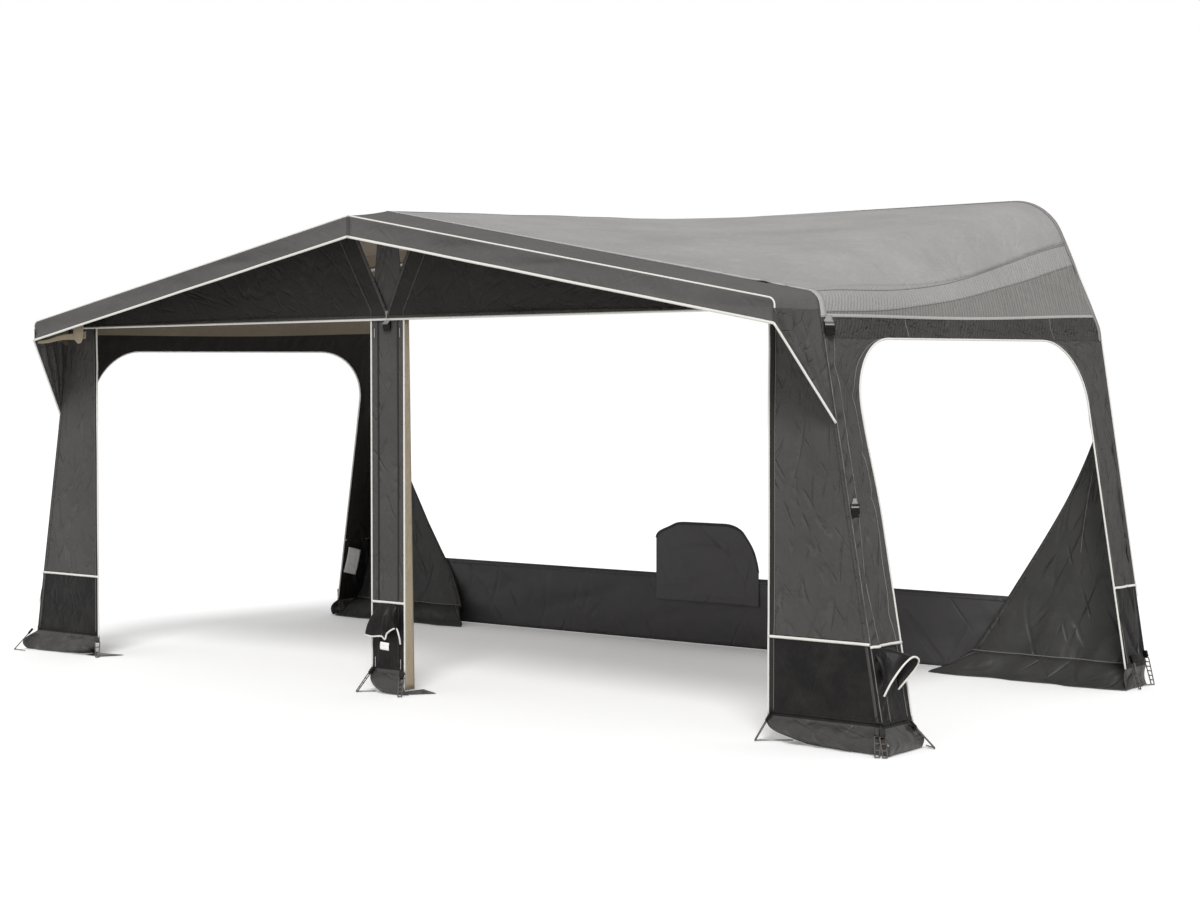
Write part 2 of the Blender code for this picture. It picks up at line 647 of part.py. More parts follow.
def rail_bracket(name, stud, way, materials):
    """A plate on the caravan with a stud that enters the roof pole."""
    outline = [(0.0, -BRACKET_HEIGHT / 2.0), (BRACKET_PLATE, -BRACKET_HEIGHT / 2.0),
               (BRACKET_PLATE, BRACKET_HEIGHT / 2.0), (0.0, BRACKET_HEIGHT / 2.0)]
    plate = extruded_bmesh(outline, -BRACKET_WIDTH / 2.0, BRACKET_WIDTH / 2.0)
    upright_edges = [edge for edge in plate.edges
                     if abs(edge.verts[0].co.x - edge.verts[1].co.x) < MERGE_DISTANCE
                     and abs(edge.verts[0].co.z - edge.verts[1].co.z) < MERGE_DISTANCE]
    bmesh.ops.bevel(plate, geom=upright_edges, offset=BRACKET_HEIGHT / 6.0, offset_type="OFFSET", segments=3,
                    profile=0.5, affect="EDGES", material=-1)
    item = add_object(name, mesh_from(plate, name), materials["steel"], Matrix.Translation(stud))
    radius = INNER_POLE_RADIUS - INNER_POLE_WALL - STUD_GAP
    root = SEAT + radius * lean_of(way)
    rod = bmesh.new()
    bmesh.ops.create_cone(rod, cap_ends=True, segments=POLE_SIDES, radius1=radius, radius2=radius,
                          depth=STUD_LENGTH + root)
    bmesh.ops.translate(rod, verts=rod.verts[:], vec=(0.0, 0.0, (STUD_LENGTH - root) / 2.0))
    bmesh.ops.transform(rod, matrix=axis_matrix((0.0, 0.0, 0.0), -way), verts=rod.verts[:])
    combine(item, rod, "UNION")


def visor_arm(name, hub, boss, materials):
    """A short tube from a bracket to the boss that carries the visor poles."""
    span = boss - hub
    way = span.normalized()
    profile = tube_profile(ARM_RADIUS, ARM_WALL, POLE_START, span.length)
    item = turned(name, profile, axis_matrix(hub, way), materials["steel"])
    knob = bmesh.new()
    bmesh.ops.create_cone(knob, cap_ends=True, segments=POLE_SIDES, radius1=BOSS_RADIUS,
                          radius2=BOSS_RADIUS, depth=BOSS_HEIGHT)
    to_local = item.matrix_world.inverted() @ Matrix.Translation(boss)
    bmesh.ops.transform(knob, matrix=to_local, verts=knob.verts[:])
    combine(item, knob, "UNION")
    item.data.shade_smooth()
    item.data.set_sharp_from_angle(angle=SHARP_ANGLE)


def visor_pole(name, start, end, materials):
    way = (end - start).normalized()
    gap = BOSS_RADIUS + SEAT + VISOR_POLE_RADIUS * abs(way.z)
    profile = tube_profile(VISOR_POLE_RADIUS, POLE_WALL, gap, (end - start).length - gap)
    turned(name, profile, axis_matrix(start, way), materials["steel"], THIN_POLE_SIDES)


def build_frame(materials):
    for label, sign in SIDE_SHARES.items():
        hub = mirrored(CORNER_HUB, sign)
        stud = mirrored(CORNER_STUD, sign)
        boss = mirrored(CORNER_BOSS, sign)
        ground = mirrored(CORNER_FOOT, sign)
        upright(f"front_{label}", hub, ground, materials)
        ways = [ground - hub, RIDGE_HUB - hub, stud - hub]
        bracket(f"{label}_corner_bracket", hub, ways, boss - hub, materials)
        rafter(f"{label}_gable_rafter", hub, RIDGE_HUB, materials)
        roof_pole(label, hub, stud, materials)
        visor_arm(f"{label}_visor_arm", hub, boss, materials)
        visor_pole(f"{label}_visor_pole", RIDGE_BOSS, boss, materials)
    ground = Vector((0.0, 0.0, 0.0))
    upright("front_centre", RIDGE_HUB, ground, materials)
    corners = [mirrored(CORNER_HUB, sign) - RIDGE_HUB for sign in SIDE_SHARES.values()]
    bracket("ridge_bracket", RIDGE_HUB, [-RIDGE_HUB, MIDDLE_STUD - RIDGE_HUB] + corners,
            RIDGE_BOSS - RIDGE_HUB, materials)
    roof_pole("centre", RIDGE_HUB, MIDDLE_STUD, materials)
    visor_arm("centre_visor_arm", RIDGE_HUB, RIDGE_BOSS, materials)


# Fabric panels

def depth_sag(share):
    """How the sag of the roof grows and fades between the front and the rail."""
    return math.sin(math.pi * share) ** 2


def roof_place(sign):
    """The light roof, from its ridge out to the shoulder seam."""
    def place(u, v):
        y = mix(BODY_Y, REAR_Y, v)
        share = depth_share(y)
        front = FRONT_PROFILE.at(u * SEAM_RUN_FRONT)
        rear = REAR_PROFILE.at(u * SEAM_RUN_REAR)
        point = front.lerp(rear, share)
        sag = ROOF_SAG * math.sin(math.pi * min(u / SAG_END_SHARE, 1.0))
        sag += SHOULDER_SAG * smooth((u - SAG_START_SHARE) / (1.0 - SAG_START_SHARE))
        inset = RIDGE_INSET * (1.0 - u)
        return Vector((sign * (point.x + inset), y, point.y - sag * depth_sag(share)))
    return place


def roof_side_place(sign):
    """The shoulder below the roof seam, and the dark band down to the side opening."""
    front_rows = [SEAM_RUN_FRONT, FRONT_PROFILE.run_at_height(EAVE_LINE_FRONT),
                  FRONT_PROFILE.run_at_height(BAND_FRONT)]
    rear_rows = [SEAM_RUN_REAR, REAR_PROFILE.run_at_height(EAVE_LINE_REAR),
                 REAR_PROFILE.run_at_height(BAND_REAR)]
    front_rows[0] += SEAM_STEP
    rear_rows[0] += SEAM_STEP
    front_rows[2] -= SEAM
    rear_rows[2] -= SEAM

    def run(rows, u):
        if u < SHOULDER_SHARE:
            return mix(rows[0], rows[1], u / SHOULDER_SHARE)
        return mix(rows[1], rows[2], (u - SHOULDER_SHARE) / (1.0 - SHOULDER_SHARE))

    def place(u, v):
        y = mix(BODY_Y, REAR_Y, v)
        share = depth_share(y)
        point = FRONT_PROFILE.at(run(front_rows, u)).lerp(REAR_PROFILE.at(run(rear_rows, u)), share)
        sag = mix(SHOULDER_SAG, EAVE_SAG, smooth(u / SHOULDER_SHARE))
        sag *= 1.0 - smooth((u - SHOULDER_SHARE) / (1.0 - SHOULDER_SHARE))
        return Vector((sign * point.x, y, point.y - sag * depth_sag(share)))
    return place


def visor_place(sign):
    """The visor: its top, then its fascia, with a rounded edge between them."""
    section = rounded_line([(0.0, 0.0), (1.0, 0.0), (1.0, 1.0)], [VISOR_EDGE_SHARE], 3)
    shares = Profile(section)

    def place(u, v):
        spot = shares.at(v * shares.runs[-1])
        rear_end = FRONT_PROFILE.run_at_height(VISOR_END_HEIGHT)
        rear = FRONT_PROFILE.at(spaced_run(FRONT_PROFILE, rear_end, u))
        front = VISOR_PROFILE.at(spaced_run(VISOR_PROFILE, VISOR_PROFILE.runs[-1], u))
        low = Vector((front.x, VISOR_PEAK - FASCIA_DEPTH - VISOR_SLOPE * front.x))
        point = rear.lerp(front.lerp(low, spot.y), spot.x)
        y = mix(FRONT_Y - 2.0 * SEAM, VISOR_Y, spot.x)
        return Vector((sign * (point.x + RIDGE_INSET * (1.0 - u)), y, point.y))
    return place


def gusset_place(sign):
    """The triangle that closes the visor's end, down to a point on the corner."""
    front_y = VISOR_Y + 2.0 * CLOTH
    rear_y = FRONT_Y - 2.0 * SEAM
    high = VISOR_END_HEIGHT - CLOTH / 2.0
    low = VISOR_PEAK - FASCIA_DEPTH - VISOR_SLOPE * VISOR_HALF

    def place(u, v):
        top = Vector((VISOR_HALF, front_y, high)).lerp(Vector((corner_x(high), rear_y, high)), u)
        base = Vector((VISOR_HALF, front_y, low)).lerp(Vector((GUSSET_HALF, rear_y, GUSSET_HEIGHT)), u)
        point = top.lerp(base, v)
        return Vector((sign * point.x, point.y, point.z))
    return place


def gable_place(sign):
    """The gable over one doorway. Its inner edge is one side of the open neck."""
    neck = NECK_RIGHT if sign > 0.0 else NECK_LEFT
    end = FRONT_PROFILE.run_at_height(EAVE_LINE_FRONT + GABLE_END_RISE)
    start = neck / FRONT_PROFILE.runs[1] * STRAIGHT_SHARE

    def place(u, v):
        top = FRONT_PROFILE.at(spaced_run(FRONT_PROFILE, end, mix(start, 1.0, u)))
        low = Vector((mix(SEAM / 2.0, corner_x(GABLE_BOTTOM), u), GABLE_BOTTOM))
        knee = Vector((low.x, mix(GABLE_BOTTOM + NECK_RISE, mix(GABLE_BOTTOM, top.y, KNEE_SHARE), u)))
        if v < KNEE_SHARE:
            point = low.lerp(knee, v / KNEE_SHARE)
        else:
            point = knee.lerp(top, (v - KNEE_SHARE) / (1.0 - KNEE_SHARE))
        return Vector((sign * point.x, FRONT_Y, point.y))
    return place


def cut_arm_hole(gable, hub, boss):
    """The hole through which a visor arm leaves the front of the awning."""
    radius = ARM_RADIUS + CLOTH / 2.0
    hole = bmesh.new()
    bmesh.ops.create_cone(hole, cap_ends=True, segments=THIN_POLE_SIDES, radius1=radius, radius2=radius,
                          depth=2.0 * FRONT_STANDOFF)
    centre = hub.lerp(boss, FRONT_STANDOFF / (hub.y - boss.y))
    bmesh.ops.transform(hole, matrix=axis_matrix(centre, boss - hub), verts=hole.verts[:])
    combine(gable, hole, "DIFFERENCE")


def ground_flap(z):
    """How far a mud flap has spread outwards at a height."""
    return FLAP_SPREAD * smooth(1.0 - z / FLAP_TOP) if z < FLAP_TOP else 0.0


def column_heights(top):
    """Rows of a panel that ends in a mud flap on the ground."""
    rows = 8
    heights = [FLAP_TOP * share for share in FLAP_ROW_SHARES]
    return heights + [mix(FLAP_TOP, top, step / rows) for step in range(rows + 1)]


def row_reader(rows):
    """Reads a list of rows by a share from 0 to 1."""
    last = len(rows) - 1

    def read(share):
        index = min(int(share * last + INDEX_MARGIN), last - 1)
        return mix(rows[index], rows[index + 1], share * last - index)
    return read


def corner_column_place(sign):
    """The fixed front panel between a doorway and the corner."""
    read = row_reader(column_heights(GABLE_BOTTOM - SEAM))

    def place(u, v):
        z = read(v)
        x = mix(DOOR_HALF, corner_x(z) + ground_flap(z), u)
        ripple = FOLD_DEPTH * math.sin(CORNER_FOLDS * math.pi * u) * smooth(1.0 - z / FLAP_TOP)
        y = FRONT_Y - ground_flap(z) + ripple
        return Vector((sign * x, y, z))
    return place


def centre_column_place(u, v):
    """The fixed panel in front of the centre upright, which ends under the ridge."""
    top = RIDGE_HUB.z - HUB_RADIUS - ARM_RADIUS
    z = row_reader(column_heights(GABLE_BOTTOM - SEAM) + [top])(v)
    half = mix(POST_HALF, POST_TOP_HALF, smooth((z - GABLE_BOTTOM) / (top - GABLE_BOTTOM)))
    ripple = FOLD_DEPTH * math.sin(CENTRE_FOLDS * math.pi * u) * smooth(1.0 - z / FLAP_TOP)
    return Vector((mix(-half, half, u), BODY_Y - ground_flap(z) + ripple, z))


def opening_rows(straight, low, high, reach, rows=8, arc_steps=6):
    """Edge of the side opening as depth and height, from the ground up round its corner."""
    heights = [FLAP_TOP * share for share in FLAP_ROW_SHARES]
    heights += [mix(FLAP_TOP, OPEN_ARC_START, step / rows) for step in range(rows + 1)]
    edge = [(mix(low, high, smooth((z - straight) / (OPEN_ARC_START - straight))), z) for z in heights]
    for step in range(1, arc_steps + 1):
        turn = math.pi / 2.0 * step / arc_steps
        edge.append((high + reach * (1.0 - math.cos(turn)), turn))
    return edge


def side_panel_place(sign, edge, start_y, join_share):
    """A strip of the side wall from one end to the curved edge of the opening."""
    depth_of = row_reader([spot[0] for spot in edge])
    count = len(edge)
    arc_first = count - 6

    def height(index_share, y):
        top = band_height(y) - SEAM
        rows = []
        for index, spot in enumerate(edge):
            if index < arc_first:
                rows.append(spot[1])
            else:
                rows.append(mix(OPEN_ARC_START, top, math.sin(spot[1])))
        return row_reader(rows)(index_share)

    def place(u, v):
        lead = ground_flap(height(v, start_y)) * join_share
        y = mix(start_y - lead, depth_of(v), u)
        z = height(v, y)
        x = side_x(y, z) + ground_flap(z)
        return Vector((sign * x, y, z))
    return place


def draught_place(sign):
    """The flap beside the caravan: against its side above, spread inwards on the ground below."""
    rows = 9
    heights = [mix(FLAP_TOP, DRAUGHT_TOP, step / rows) for step in range(rows + 1)]
    path = list(zip((CLOTH, CLOTH, DRAUGHT_TOE_RISE), DRAUGHT_TOE_SHARES)) + [(z, 0.0) for z in heights]
    read_z = row_reader([spot[0] for spot in path])
    read_toe = row_reader([spot[1] for spot in path])

    def place(u, v):
        z = read_z(v)
        spread = read_toe(v)
        inner_low = mix(DRAUGHT_FOOT_HALF, DRAUGHT_TAIL_HALF, smooth(1.0 - z / FLAP_TOP))
        y = DEPTH - DRAUGHT_SETBACK - DRAUGHT_LEAN * smooth(1.0 - z / DRAUGHT_LEAN_HEIGHT)
        y -= (DRAUGHT_TOE - DRAUGHT_LEAN) * spread
        outer = side_x(y, z) - CLOTH * math.hypot(1.0, SIDE_SLOPE_FRONT) - SEAM
        rise_share = max(z - FLAP_TOP, 0.0) / (DRAUGHT_TOP - FLAP_TOP)
        share = mix(rise_share, smooth(rise_share), DRAUGHT_CURVE_SHARE)
        inner = mix(inner_low, outer - DRAUGHT_SETBACK, share)
        fold = DRAUGHT_FOLD * math.sin(DRAUGHT_FOLDS * math.pi * u) ** 2 * (1.0 - rise_share) ** 2
        return Vector((sign * mix(inner, outer, u), y - fold, z))
    return place


def skirt_place(u, v):
    """The skirt that closes the space under the caravan floor."""
    x = mix(-SKIRT_HALF, SKIRT_HALF, u)
    z = v * SKIRT_HEIGHT
    return Vector((x, DEPTH - DRAUGHT_SETBACK + CLOTH + SEAT, z))


def wheel_cover_place(u, v):
    """The cover over the wheel arch, with a small slope at one upper corner and a long one at the other."""
    x = row_reader([spot[0] for spot in WHEEL_COVER_EDGE])(u)
    top = row_reader([spot[1] for spot in WHEEL_COVER_EDGE])(u)
    return Vector((x, DEPTH - DRAUGHT_SETBACK, mix(WHEEL_COVER_BOTTOM, top, v)))


def keder(materials):
    """The beading sewn along the rear edge, which slides into the caravan's rail."""
    curve = bpy.data.curves.new("keder_beading", "CURVE")
    curve.dimensions = "3D"
    curve.bevel_depth = KEDER_RADIUS
    curve.bevel_resolution = 1
    curve.use_fill_caps = True
    end = REAR_PROFILE.run_at_height(WINDOW_TOP)
    half = [REAR_PROFILE.at(end * step / 28.0) for step in range(29)]
    points = [(-p.x, p.y) for p in half[:0:-1]] + [(p.x, p.y) for p in half]
    spline = curve.splines.new("POLY")
    spline.points.add(len(points) - 1)
    for slot, (x, z) in zip(spline.points, points):
        slot.co = (x, DEPTH - KEDER_RADIUS, z - CLOTH / 2.0, 1.0)
    item = bpy.data.objects.new("keder_beading", curve)
    curve.materials.append(materials["keder"])
    bpy.context.scene.collection.objects.link(item)


def build_fabric(materials):
    front = Vector((0.0, -1.0, 0.0))
    roof, wall, fascia = materials["roof"], materials["wall"], materials["fascia"]
    front_edge = opening_rows(OPEN_STRAIGHT, OPEN_FRONT_LOW, OPEN_FRONT_HIGH, OPEN_FRONT_ARC)
    rear_edge = opening_rows(OPEN_STRAIGHT, OPEN_REAR, OPEN_REAR, -OPEN_REAR_ARC)
    for label, sign in SIDE_SHARES.items():
        up = Vector((0.0, 0.0, 1.0))
        out = Vector((sign, 0.0, 0.0))
        panel(f"{label}_roof_panel", roof_place(sign), 18, 10, roof, outward=up)
        panel(f"{label}_roof_side", roof_side_place(sign), 8, 12, roof, outward=out)
        panel(f"{label}_visor", visor_place(sign), 12, 8, fascia, outward=front + up)
        panel(f"{label}_visor_end", gusset_place(sign), 3, 3, wall, outward=out)
        gable = panel(f"{label}_gable_panel", gable_place(sign), 12, 3, wall, outward=front)
        cut_arm_hole(gable, mirrored(CORNER_HUB, sign), mirrored(CORNER_BOSS, sign))
        panel(f"front_{label}_column", corner_column_place(sign), 6, 11, wall, outward=front)
        panel(f"{label}_side_front_panel", side_panel_place(sign, front_edge, BODY_Y, FLAP_JOIN_SHARE), 3,
              len(front_edge) - 1, wall, outward=out)
        panel(f"{label}_side_rear_panel", side_panel_place(sign, rear_edge, REAR_Y, 0.0), 3,
              len(rear_edge) - 1, wall, outward=out)
        panel(f"{label}_draught_flap", draught_place(sign), 12, 12, wall, outward=front)
    panel("front_centre_column", centre_column_place, 6, 12, wall, outward=front)
    panel("caravan_skirt", skirt_place, 20, 3, materials["skirt"], outward=front)
    panel("wheel_arch_cover", wheel_cover_place, len(WHEEL_COVER_EDGE) - 1, 4, wall, outward=front)
    keder(materials)


def build_fastenings(materials):
    """The zip slider at the foot of the neck, and the buckle on the strap below it."""
    slider_low = GABLE_BOTTOM + SLIDER_LENGTH
    face = FRONT_Y - SEAT
    body = [(face, slider_low), (face, slider_low + SLIDER_LENGTH),
            (face - SLIDER_THICKNESS, slider_low + SLIDER_LENGTH - SLIDER_THICKNESS),
            (face - SLIDER_THICKNESS, slider_low + SLIDER_THICKNESS)]
    bm = extruded_bmesh(body, -SLIDER_WIDTH / 2.0, SLIDER_WIDTH / 2.0)
    origin = Vector((0.0, face, slider_low))
    bmesh.ops.translate(bm, verts=bm.verts[:], vec=-origin)
    slider = add_object("neck_zip_slider", mesh_from(bm, "neck_zip_slider"), materials["steel"],
                        Matrix.Translation(origin))
    top = SLIDER_LENGTH / 2.0
    pull = [(-SLIDER_THICKNESS / 2.0, top), (-SLIDER_THICKNESS - PULL_THICKNESS, top),
            (-SLIDER_THICKNESS - PULL_THICKNESS, top - PULL_LENGTH), (-SLIDER_THICKNESS, top - PULL_LENGTH)]
    combine(slider, extruded_bmesh(pull, -SLIDER_WIDTH / 4.0, SLIDER_WIDTH / 4.0), "UNION")

    back = BODY_Y - SEAT
    high = GABLE_BOTTOM - BUCKLE_DROP
    low = high - BUCKLE_HEIGHT
    half = BUCKLE_WIDTH / 2.0
    shell = [(back, low), (back, high), (back - BUCKLE_DEPTH + BUCKLE_WALL, high),
             (back - BUCKLE_DEPTH, high - BUCKLE_WALL), (back - BUCKLE_DEPTH, low)]
    socket = add_object("centre_buckle_socket", mesh_from(extruded_bmesh(shell, -half, half), "socket"),
                        materials["plastic"])
    inside = half - BUCKLE_WALL
    bay = [(back - BUCKLE_WALL, low - BUCKLE_WALL), (back - BUCKLE_WALL, high - 2.0 * BUCKLE_WALL),
           (back - BUCKLE_DEPTH + BUCKLE_WALL, high - 2.0 * BUCKLE_WALL),
           (back - BUCKLE_DEPTH + BUCKLE_WALL, low - BUCKLE_WALL)]
    combine(socket, extruded_bmesh(bay, -inside, inside), "DIFFERENCE")
    window_low = low + BUCKLE_HEIGHT / 3.0
    window_high = low + BUCKLE_HEIGHT * 2.0 / 3.0
    window = [(bay[0][0], window_low), (bay[0][0], window_high), (bay[2][0], window_high),
              (bay[2][0], window_low)]
    combine(socket, extruded_bmesh(window, -half - BUCKLE_WALL, half + BUCKLE_WALL), "DIFFERENCE")

    near = bay[0][0] - TONGUE_GAP
    far = bay[2][0] + TONGUE_GAP
    bar = [(near, low - TONGUE_GAP - TONGUE_BAR), (near, low - TONGUE_GAP), (far, low - TONGUE_GAP),
           (far, low - TONGUE_GAP - TONGUE_BAR)]
    origin = Vector((0.0, (near + far) / 2.0, low))
    tongue_bm = extruded_bmesh(bar, -inside, inside)
    bmesh.ops.translate(tongue_bm, verts=tongue_bm.verts[:], vec=-origin)
    tongue = add_object("centre_buckle_tongue", mesh_from(tongue_bm, "tongue"), materials["plastic"],
                        Matrix.Translation(origin))
    deep = (near - far) / 2.0
    prong_top = BUCKLE_HEIGHT - 2.0 * BUCKLE_WALL - TONGUE_GAP
    prong_width = BUCKLE_WIDTH / 9.0
    for middle in (-inside + prong_width, 0.0, inside - prong_width):
        prong = [(-deep, -TONGUE_BAR / 2.0), (deep, -TONGUE_BAR / 2.0), (deep, prong_top), (-deep, prong_top)]
        combine(tongue, extruded_bmesh(prong, middle - prong_width / 2.0, middle + prong_width / 2.0), "UNION")
    slot_low = -TONGUE_BAR + BUCKLE_WALL
    through = deep + BUCKLE_WALL
    slot = [(-through, slot_low), (through, slot_low), (through, slot_low + 2.0 * BUCKLE_WALL),
            (-through, slot_low + 2.0 * BUCKLE_WALL)]
    combine(tongue, extruded_bmesh(slot, -inside + 2.0 * BUCKLE_WALL, inside - 2.0 * BUCKLE_WALL), "DIFFERENCE")


def main():
    clear_scene()
    materials = make_materials()
    build_frame(materials)
    build_fabric(materials)
    build_fastenings(materials)


main()
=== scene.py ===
"""Looks of the caravan awning: sewn panels, piping, bands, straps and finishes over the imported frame."""
import math

import bmesh
import bpy
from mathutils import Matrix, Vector, noise


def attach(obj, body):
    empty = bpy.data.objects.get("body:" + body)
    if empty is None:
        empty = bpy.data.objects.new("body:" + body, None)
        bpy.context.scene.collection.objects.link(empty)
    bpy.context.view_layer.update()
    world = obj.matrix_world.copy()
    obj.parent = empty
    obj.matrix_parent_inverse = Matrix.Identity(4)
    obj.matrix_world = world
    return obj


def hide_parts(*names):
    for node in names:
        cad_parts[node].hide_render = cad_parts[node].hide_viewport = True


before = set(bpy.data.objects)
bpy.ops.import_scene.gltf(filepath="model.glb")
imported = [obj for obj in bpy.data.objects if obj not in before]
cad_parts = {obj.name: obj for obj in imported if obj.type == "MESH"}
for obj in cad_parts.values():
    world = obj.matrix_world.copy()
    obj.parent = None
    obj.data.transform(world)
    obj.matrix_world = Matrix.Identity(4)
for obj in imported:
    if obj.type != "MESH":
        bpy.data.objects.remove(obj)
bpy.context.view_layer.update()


def placed(name, data):
    item = bpy.data.objects.new(name, data)
    bpy.context.scene.collection.objects.link(item)
    return item


# Camera, fitted to the photograph
camera_data = bpy.data.cameras.new("camera")
camera_data.sensor_width = 36.0
camera_data.lens = 63.715
camera = placed("camera", camera_data)
camera.location = (7.12, -7.2357, 1.4464)
camera.rotation_euler = (math.radians(88.353), 0.0, math.radians(38.937))
bpy.context.scene.camera = camera

# Outline of the awning, as in the part's source
BODY = "canopy_and_frame"
DEPTH = 2.50
FRONT_Y = -0.0285
CLOTH = 0.003
THIN_CLOTH = 0.0016
BODY_Y = FRONT_Y + CLOTH + 0.0006
REAR_Y = DEPTH - 0.0086
PEAK_HEIGHT = 2.287
EAVE_HALF = 2.42
EAVE_HEIGHT = 1.835
FOOT_HALF = 2.75
RAIL_HEIGHT = 2.40
RAIL_HALF = 2.155
REAR_EAVE_HALF = 2.434
REAR_EAVE_HEIGHT = 1.752
REAR_FOOT_HALF = 2.71
SEAM_RUN_FRONT = 2.40
SEAM_RUN_REAR = 2.36
EAVE_LINE_FRONT = 1.74
EAVE_LINE_REAR = 1.80
BAND_FRONT = 1.651
BAND_REAR = 1.681
VISOR_REACH = 0.26
VISOR_Y = FRONT_Y - VISOR_REACH
VISOR_PEAK = 2.250
VISOR_HALF = 2.385
VISOR_EAVE = 1.804
VISOR_END_HEIGHT = 1.766
VISOR_SLOPE = (VISOR_PEAK - VISOR_EAVE) / VISOR_HALF
FASCIA_DEPTH = 0.098
GUSSET_HALF = 2.509
GUSSET_HEIGHT = 1.31
GABLE_BOTTOM = 1.776
NECK_SHARES = {1.0: 0.210 / EAVE_HALF, -1.0: 0.240 / EAVE_HALF}
DOOR_HALF = 2.188
POST_HALF = 0.108
CENTRE_TOP = 2.18
WINDOW_TOP = 0.431
SIDE_BAND_FRONT = 0.42
SIDE_BAND_REAR = 0.485
FLAP_TOP = 0.102
DRAUGHT_TOP = 1.33
OPEN_ARC_START = 1.37
OPEN_FRONT = 0.175
OPEN_REAR = 2.25
OPEN_FRONT_ARC = 0.295
OPEN_REAR_ARC = 0.386
SLEEVE_WIDTH = 0.070

# Where the main lines lie on the panels, as shares of their rows and columns
EAVE_SPAN = 0.75
EAVE_ROW = 0.6
FRONT_HEM_ROW = 0.0092
REAR_TAPE_ROW = 0.9935
FLAP_ROWS = 0.18
ABOVE_FLAP = 0.19
DRAUGHT_ROWS = 0.2
ARC_ROW = 0.78
SIDE_LOW_ROW = 0.15
SIDE_TOP_ROW = 0.985

BAND_BEAD = 0.0060
SIDES = {"right": 1.0, "left": -1.0}
OUT = {1.0: Vector((1.0, 0.0, 0.0)), -1.0: Vector((-1.0, 0.0, 0.0))}
UP = Vector((0.0, 0.0, 1.0))
FORWARD = Vector((0.0, -1.0, 0.0))


def mix(first, second, share):
    return first + (second - first) * share


def smooth(share):
    share = min(max(share, 0.0), 1.0)
    return share * share * (3.0 - 2.0 * share)


def bump_of(share):
    """Rises from 0 at both ends of a share to 1 in the middle."""
    return math.sin(math.pi * min(max(share, 0.0), 1.0))


def wave_noise(point, size, seed, stretch=(1.0, 1.0, 1.0)):
    """Smooth noise from -1 to 1, longer along the axes with a small stretch."""
    spot = [co * factor / size for co, factor in zip(point, stretch)]
    return noise.noise(Vector((spot[0] + seed, spot[1] - seed, spot[2] + 2.0 * seed)))


def curve_at(points, share):
    """A smooth curve through points, read by a share from 0 to 1."""
    spots = [Vector(point) for point in points]
    spots = [spots[0] * 2.0 - spots[1]] + spots + [spots[-1] * 2.0 - spots[-2]]
    place = share * (len(points) - 1)
    index = min(int(place), len(points) - 2)
    t = place - index
    a, b, c, d = spots[index:index + 4]
    return 0.5 * (2.0 * b + (c - a) * t + (2.0 * a - 5.0 * b + 4.0 * c - d) * t ** 2
                  + (3.0 * b - a - 3.0 * c + d) * t ** 3)


def value_at(values, share):
    """A smooth curve through values, read by a share from 0 to 1."""
    return curve_at([(value, 0.0, 0.0) for value in values], share).x


def crease(point, size, seed, stretch=(1.0, 1.0, 1.0)):
    """Sharp creases from 0 to 1, where the noise passes through 0."""
    return (1.0 - min(abs(wave_noise(point, size, seed, stretch)) * 3.0, 1.0)) ** 2


class Profile:
    """A line in the X-Z plane, read by its length from the first point."""

    def __init__(self, points):
        self.points = [Vector(point) for point in points]
        self.runs = [0.0]
        for before, after in zip(self.points, self.points[1:]):
            self.runs.append(self.runs[-1] + (after - before).length)

    def at(self, run):
        run = min(max(run, 0.0), self.runs[-1])
        for index in range(len(self.points) - 1):
            if run <= self.runs[index + 1]:
                step = self.runs[index + 1] - self.runs[index]
                return self.points[index].lerp(self.points[index + 1], (run - self.runs[index]) / step)
        return self.points[-1].copy()

    def run_at_height(self, height):
        for index in range(len(self.points) - 1):
            upper, lower = self.points[index], self.points[index + 1]
            if upper.y >= height > lower.y:
                share = (upper.y - height) / (upper.y - lower.y)
                return self.runs[index] + share * (self.runs[index + 1] - self.runs[index])
        return self.runs[-1]


def rounded_line(points, radii, steps=8):
    """A line through points with its corners rounded."""
    result = [Vector(points[0])]
    for index in range(1, len(points) - 1):
        corner = Vector(points[index])
        back = (Vector(points[index - 1]) - corner).normalized()
        onward = (Vector(points[index + 1]) - corner).normalized()
        half = back.angle(onward) / 2.0
        reach = radii[index - 1] / math.tan(half)
        middle = corner + (back + onward).normalized() * radii[index - 1] / math.sin(half)
        start = corner + back * reach - middle
        end = corner + onward * reach - middle
        for step in range(steps + 1):
            result.append(middle + start.slerp(end, step / steps).normalized() * radii[index - 1])
    result.append(Vector(points[-1]))
    return result


FRONT_PROFILE = Profile(rounded_line(
    [(0.0, PEAK_HEIGHT), (EAVE_HALF, EAVE_HEIGHT), (FOOT_HALF, 0.0)], [0.07]))
REAR_PROFILE = Profile(rounded_line(
    [(0.0, RAIL_HEIGHT), (RAIL_HALF, RAIL_HEIGHT), (REAR_EAVE_HALF, REAR_EAVE_HEIGHT), (REAR_FOOT_HALF, 0.0)],
    [0.29, 0.30], 12))
VISOR_PROFILE = Profile(rounded_line(
    [(0.0, VISOR_PEAK), (VISOR_HALF, VISOR_EAVE), (VISOR_HALF, VISOR_END_HEIGHT)], [0.03]))
EAVE_SHARE = EAVE_SPAN * EAVE_HALF / FRONT_PROFILE.runs[1]


def depth_share(y):
    """How far back a spot lies, from 0 at the front to 1 at the rail."""
    return (y - FRONT_Y) / (DEPTH - FRONT_Y)


def corner_x(z):
    """Half width of the front corners at a height."""
    return FOOT_HALF - (FOOT_HALF - EAVE_HALF) / EAVE_HEIGHT * z


def side_x(y, z):
    """Half width of the walls at a depth and a height."""
    rear = REAR_FOOT_HALF - (REAR_FOOT_HALF - REAR_EAVE_HALF) / REAR_EAVE_HEIGHT * z
    return mix(corner_x(z), rear, depth_share(y))


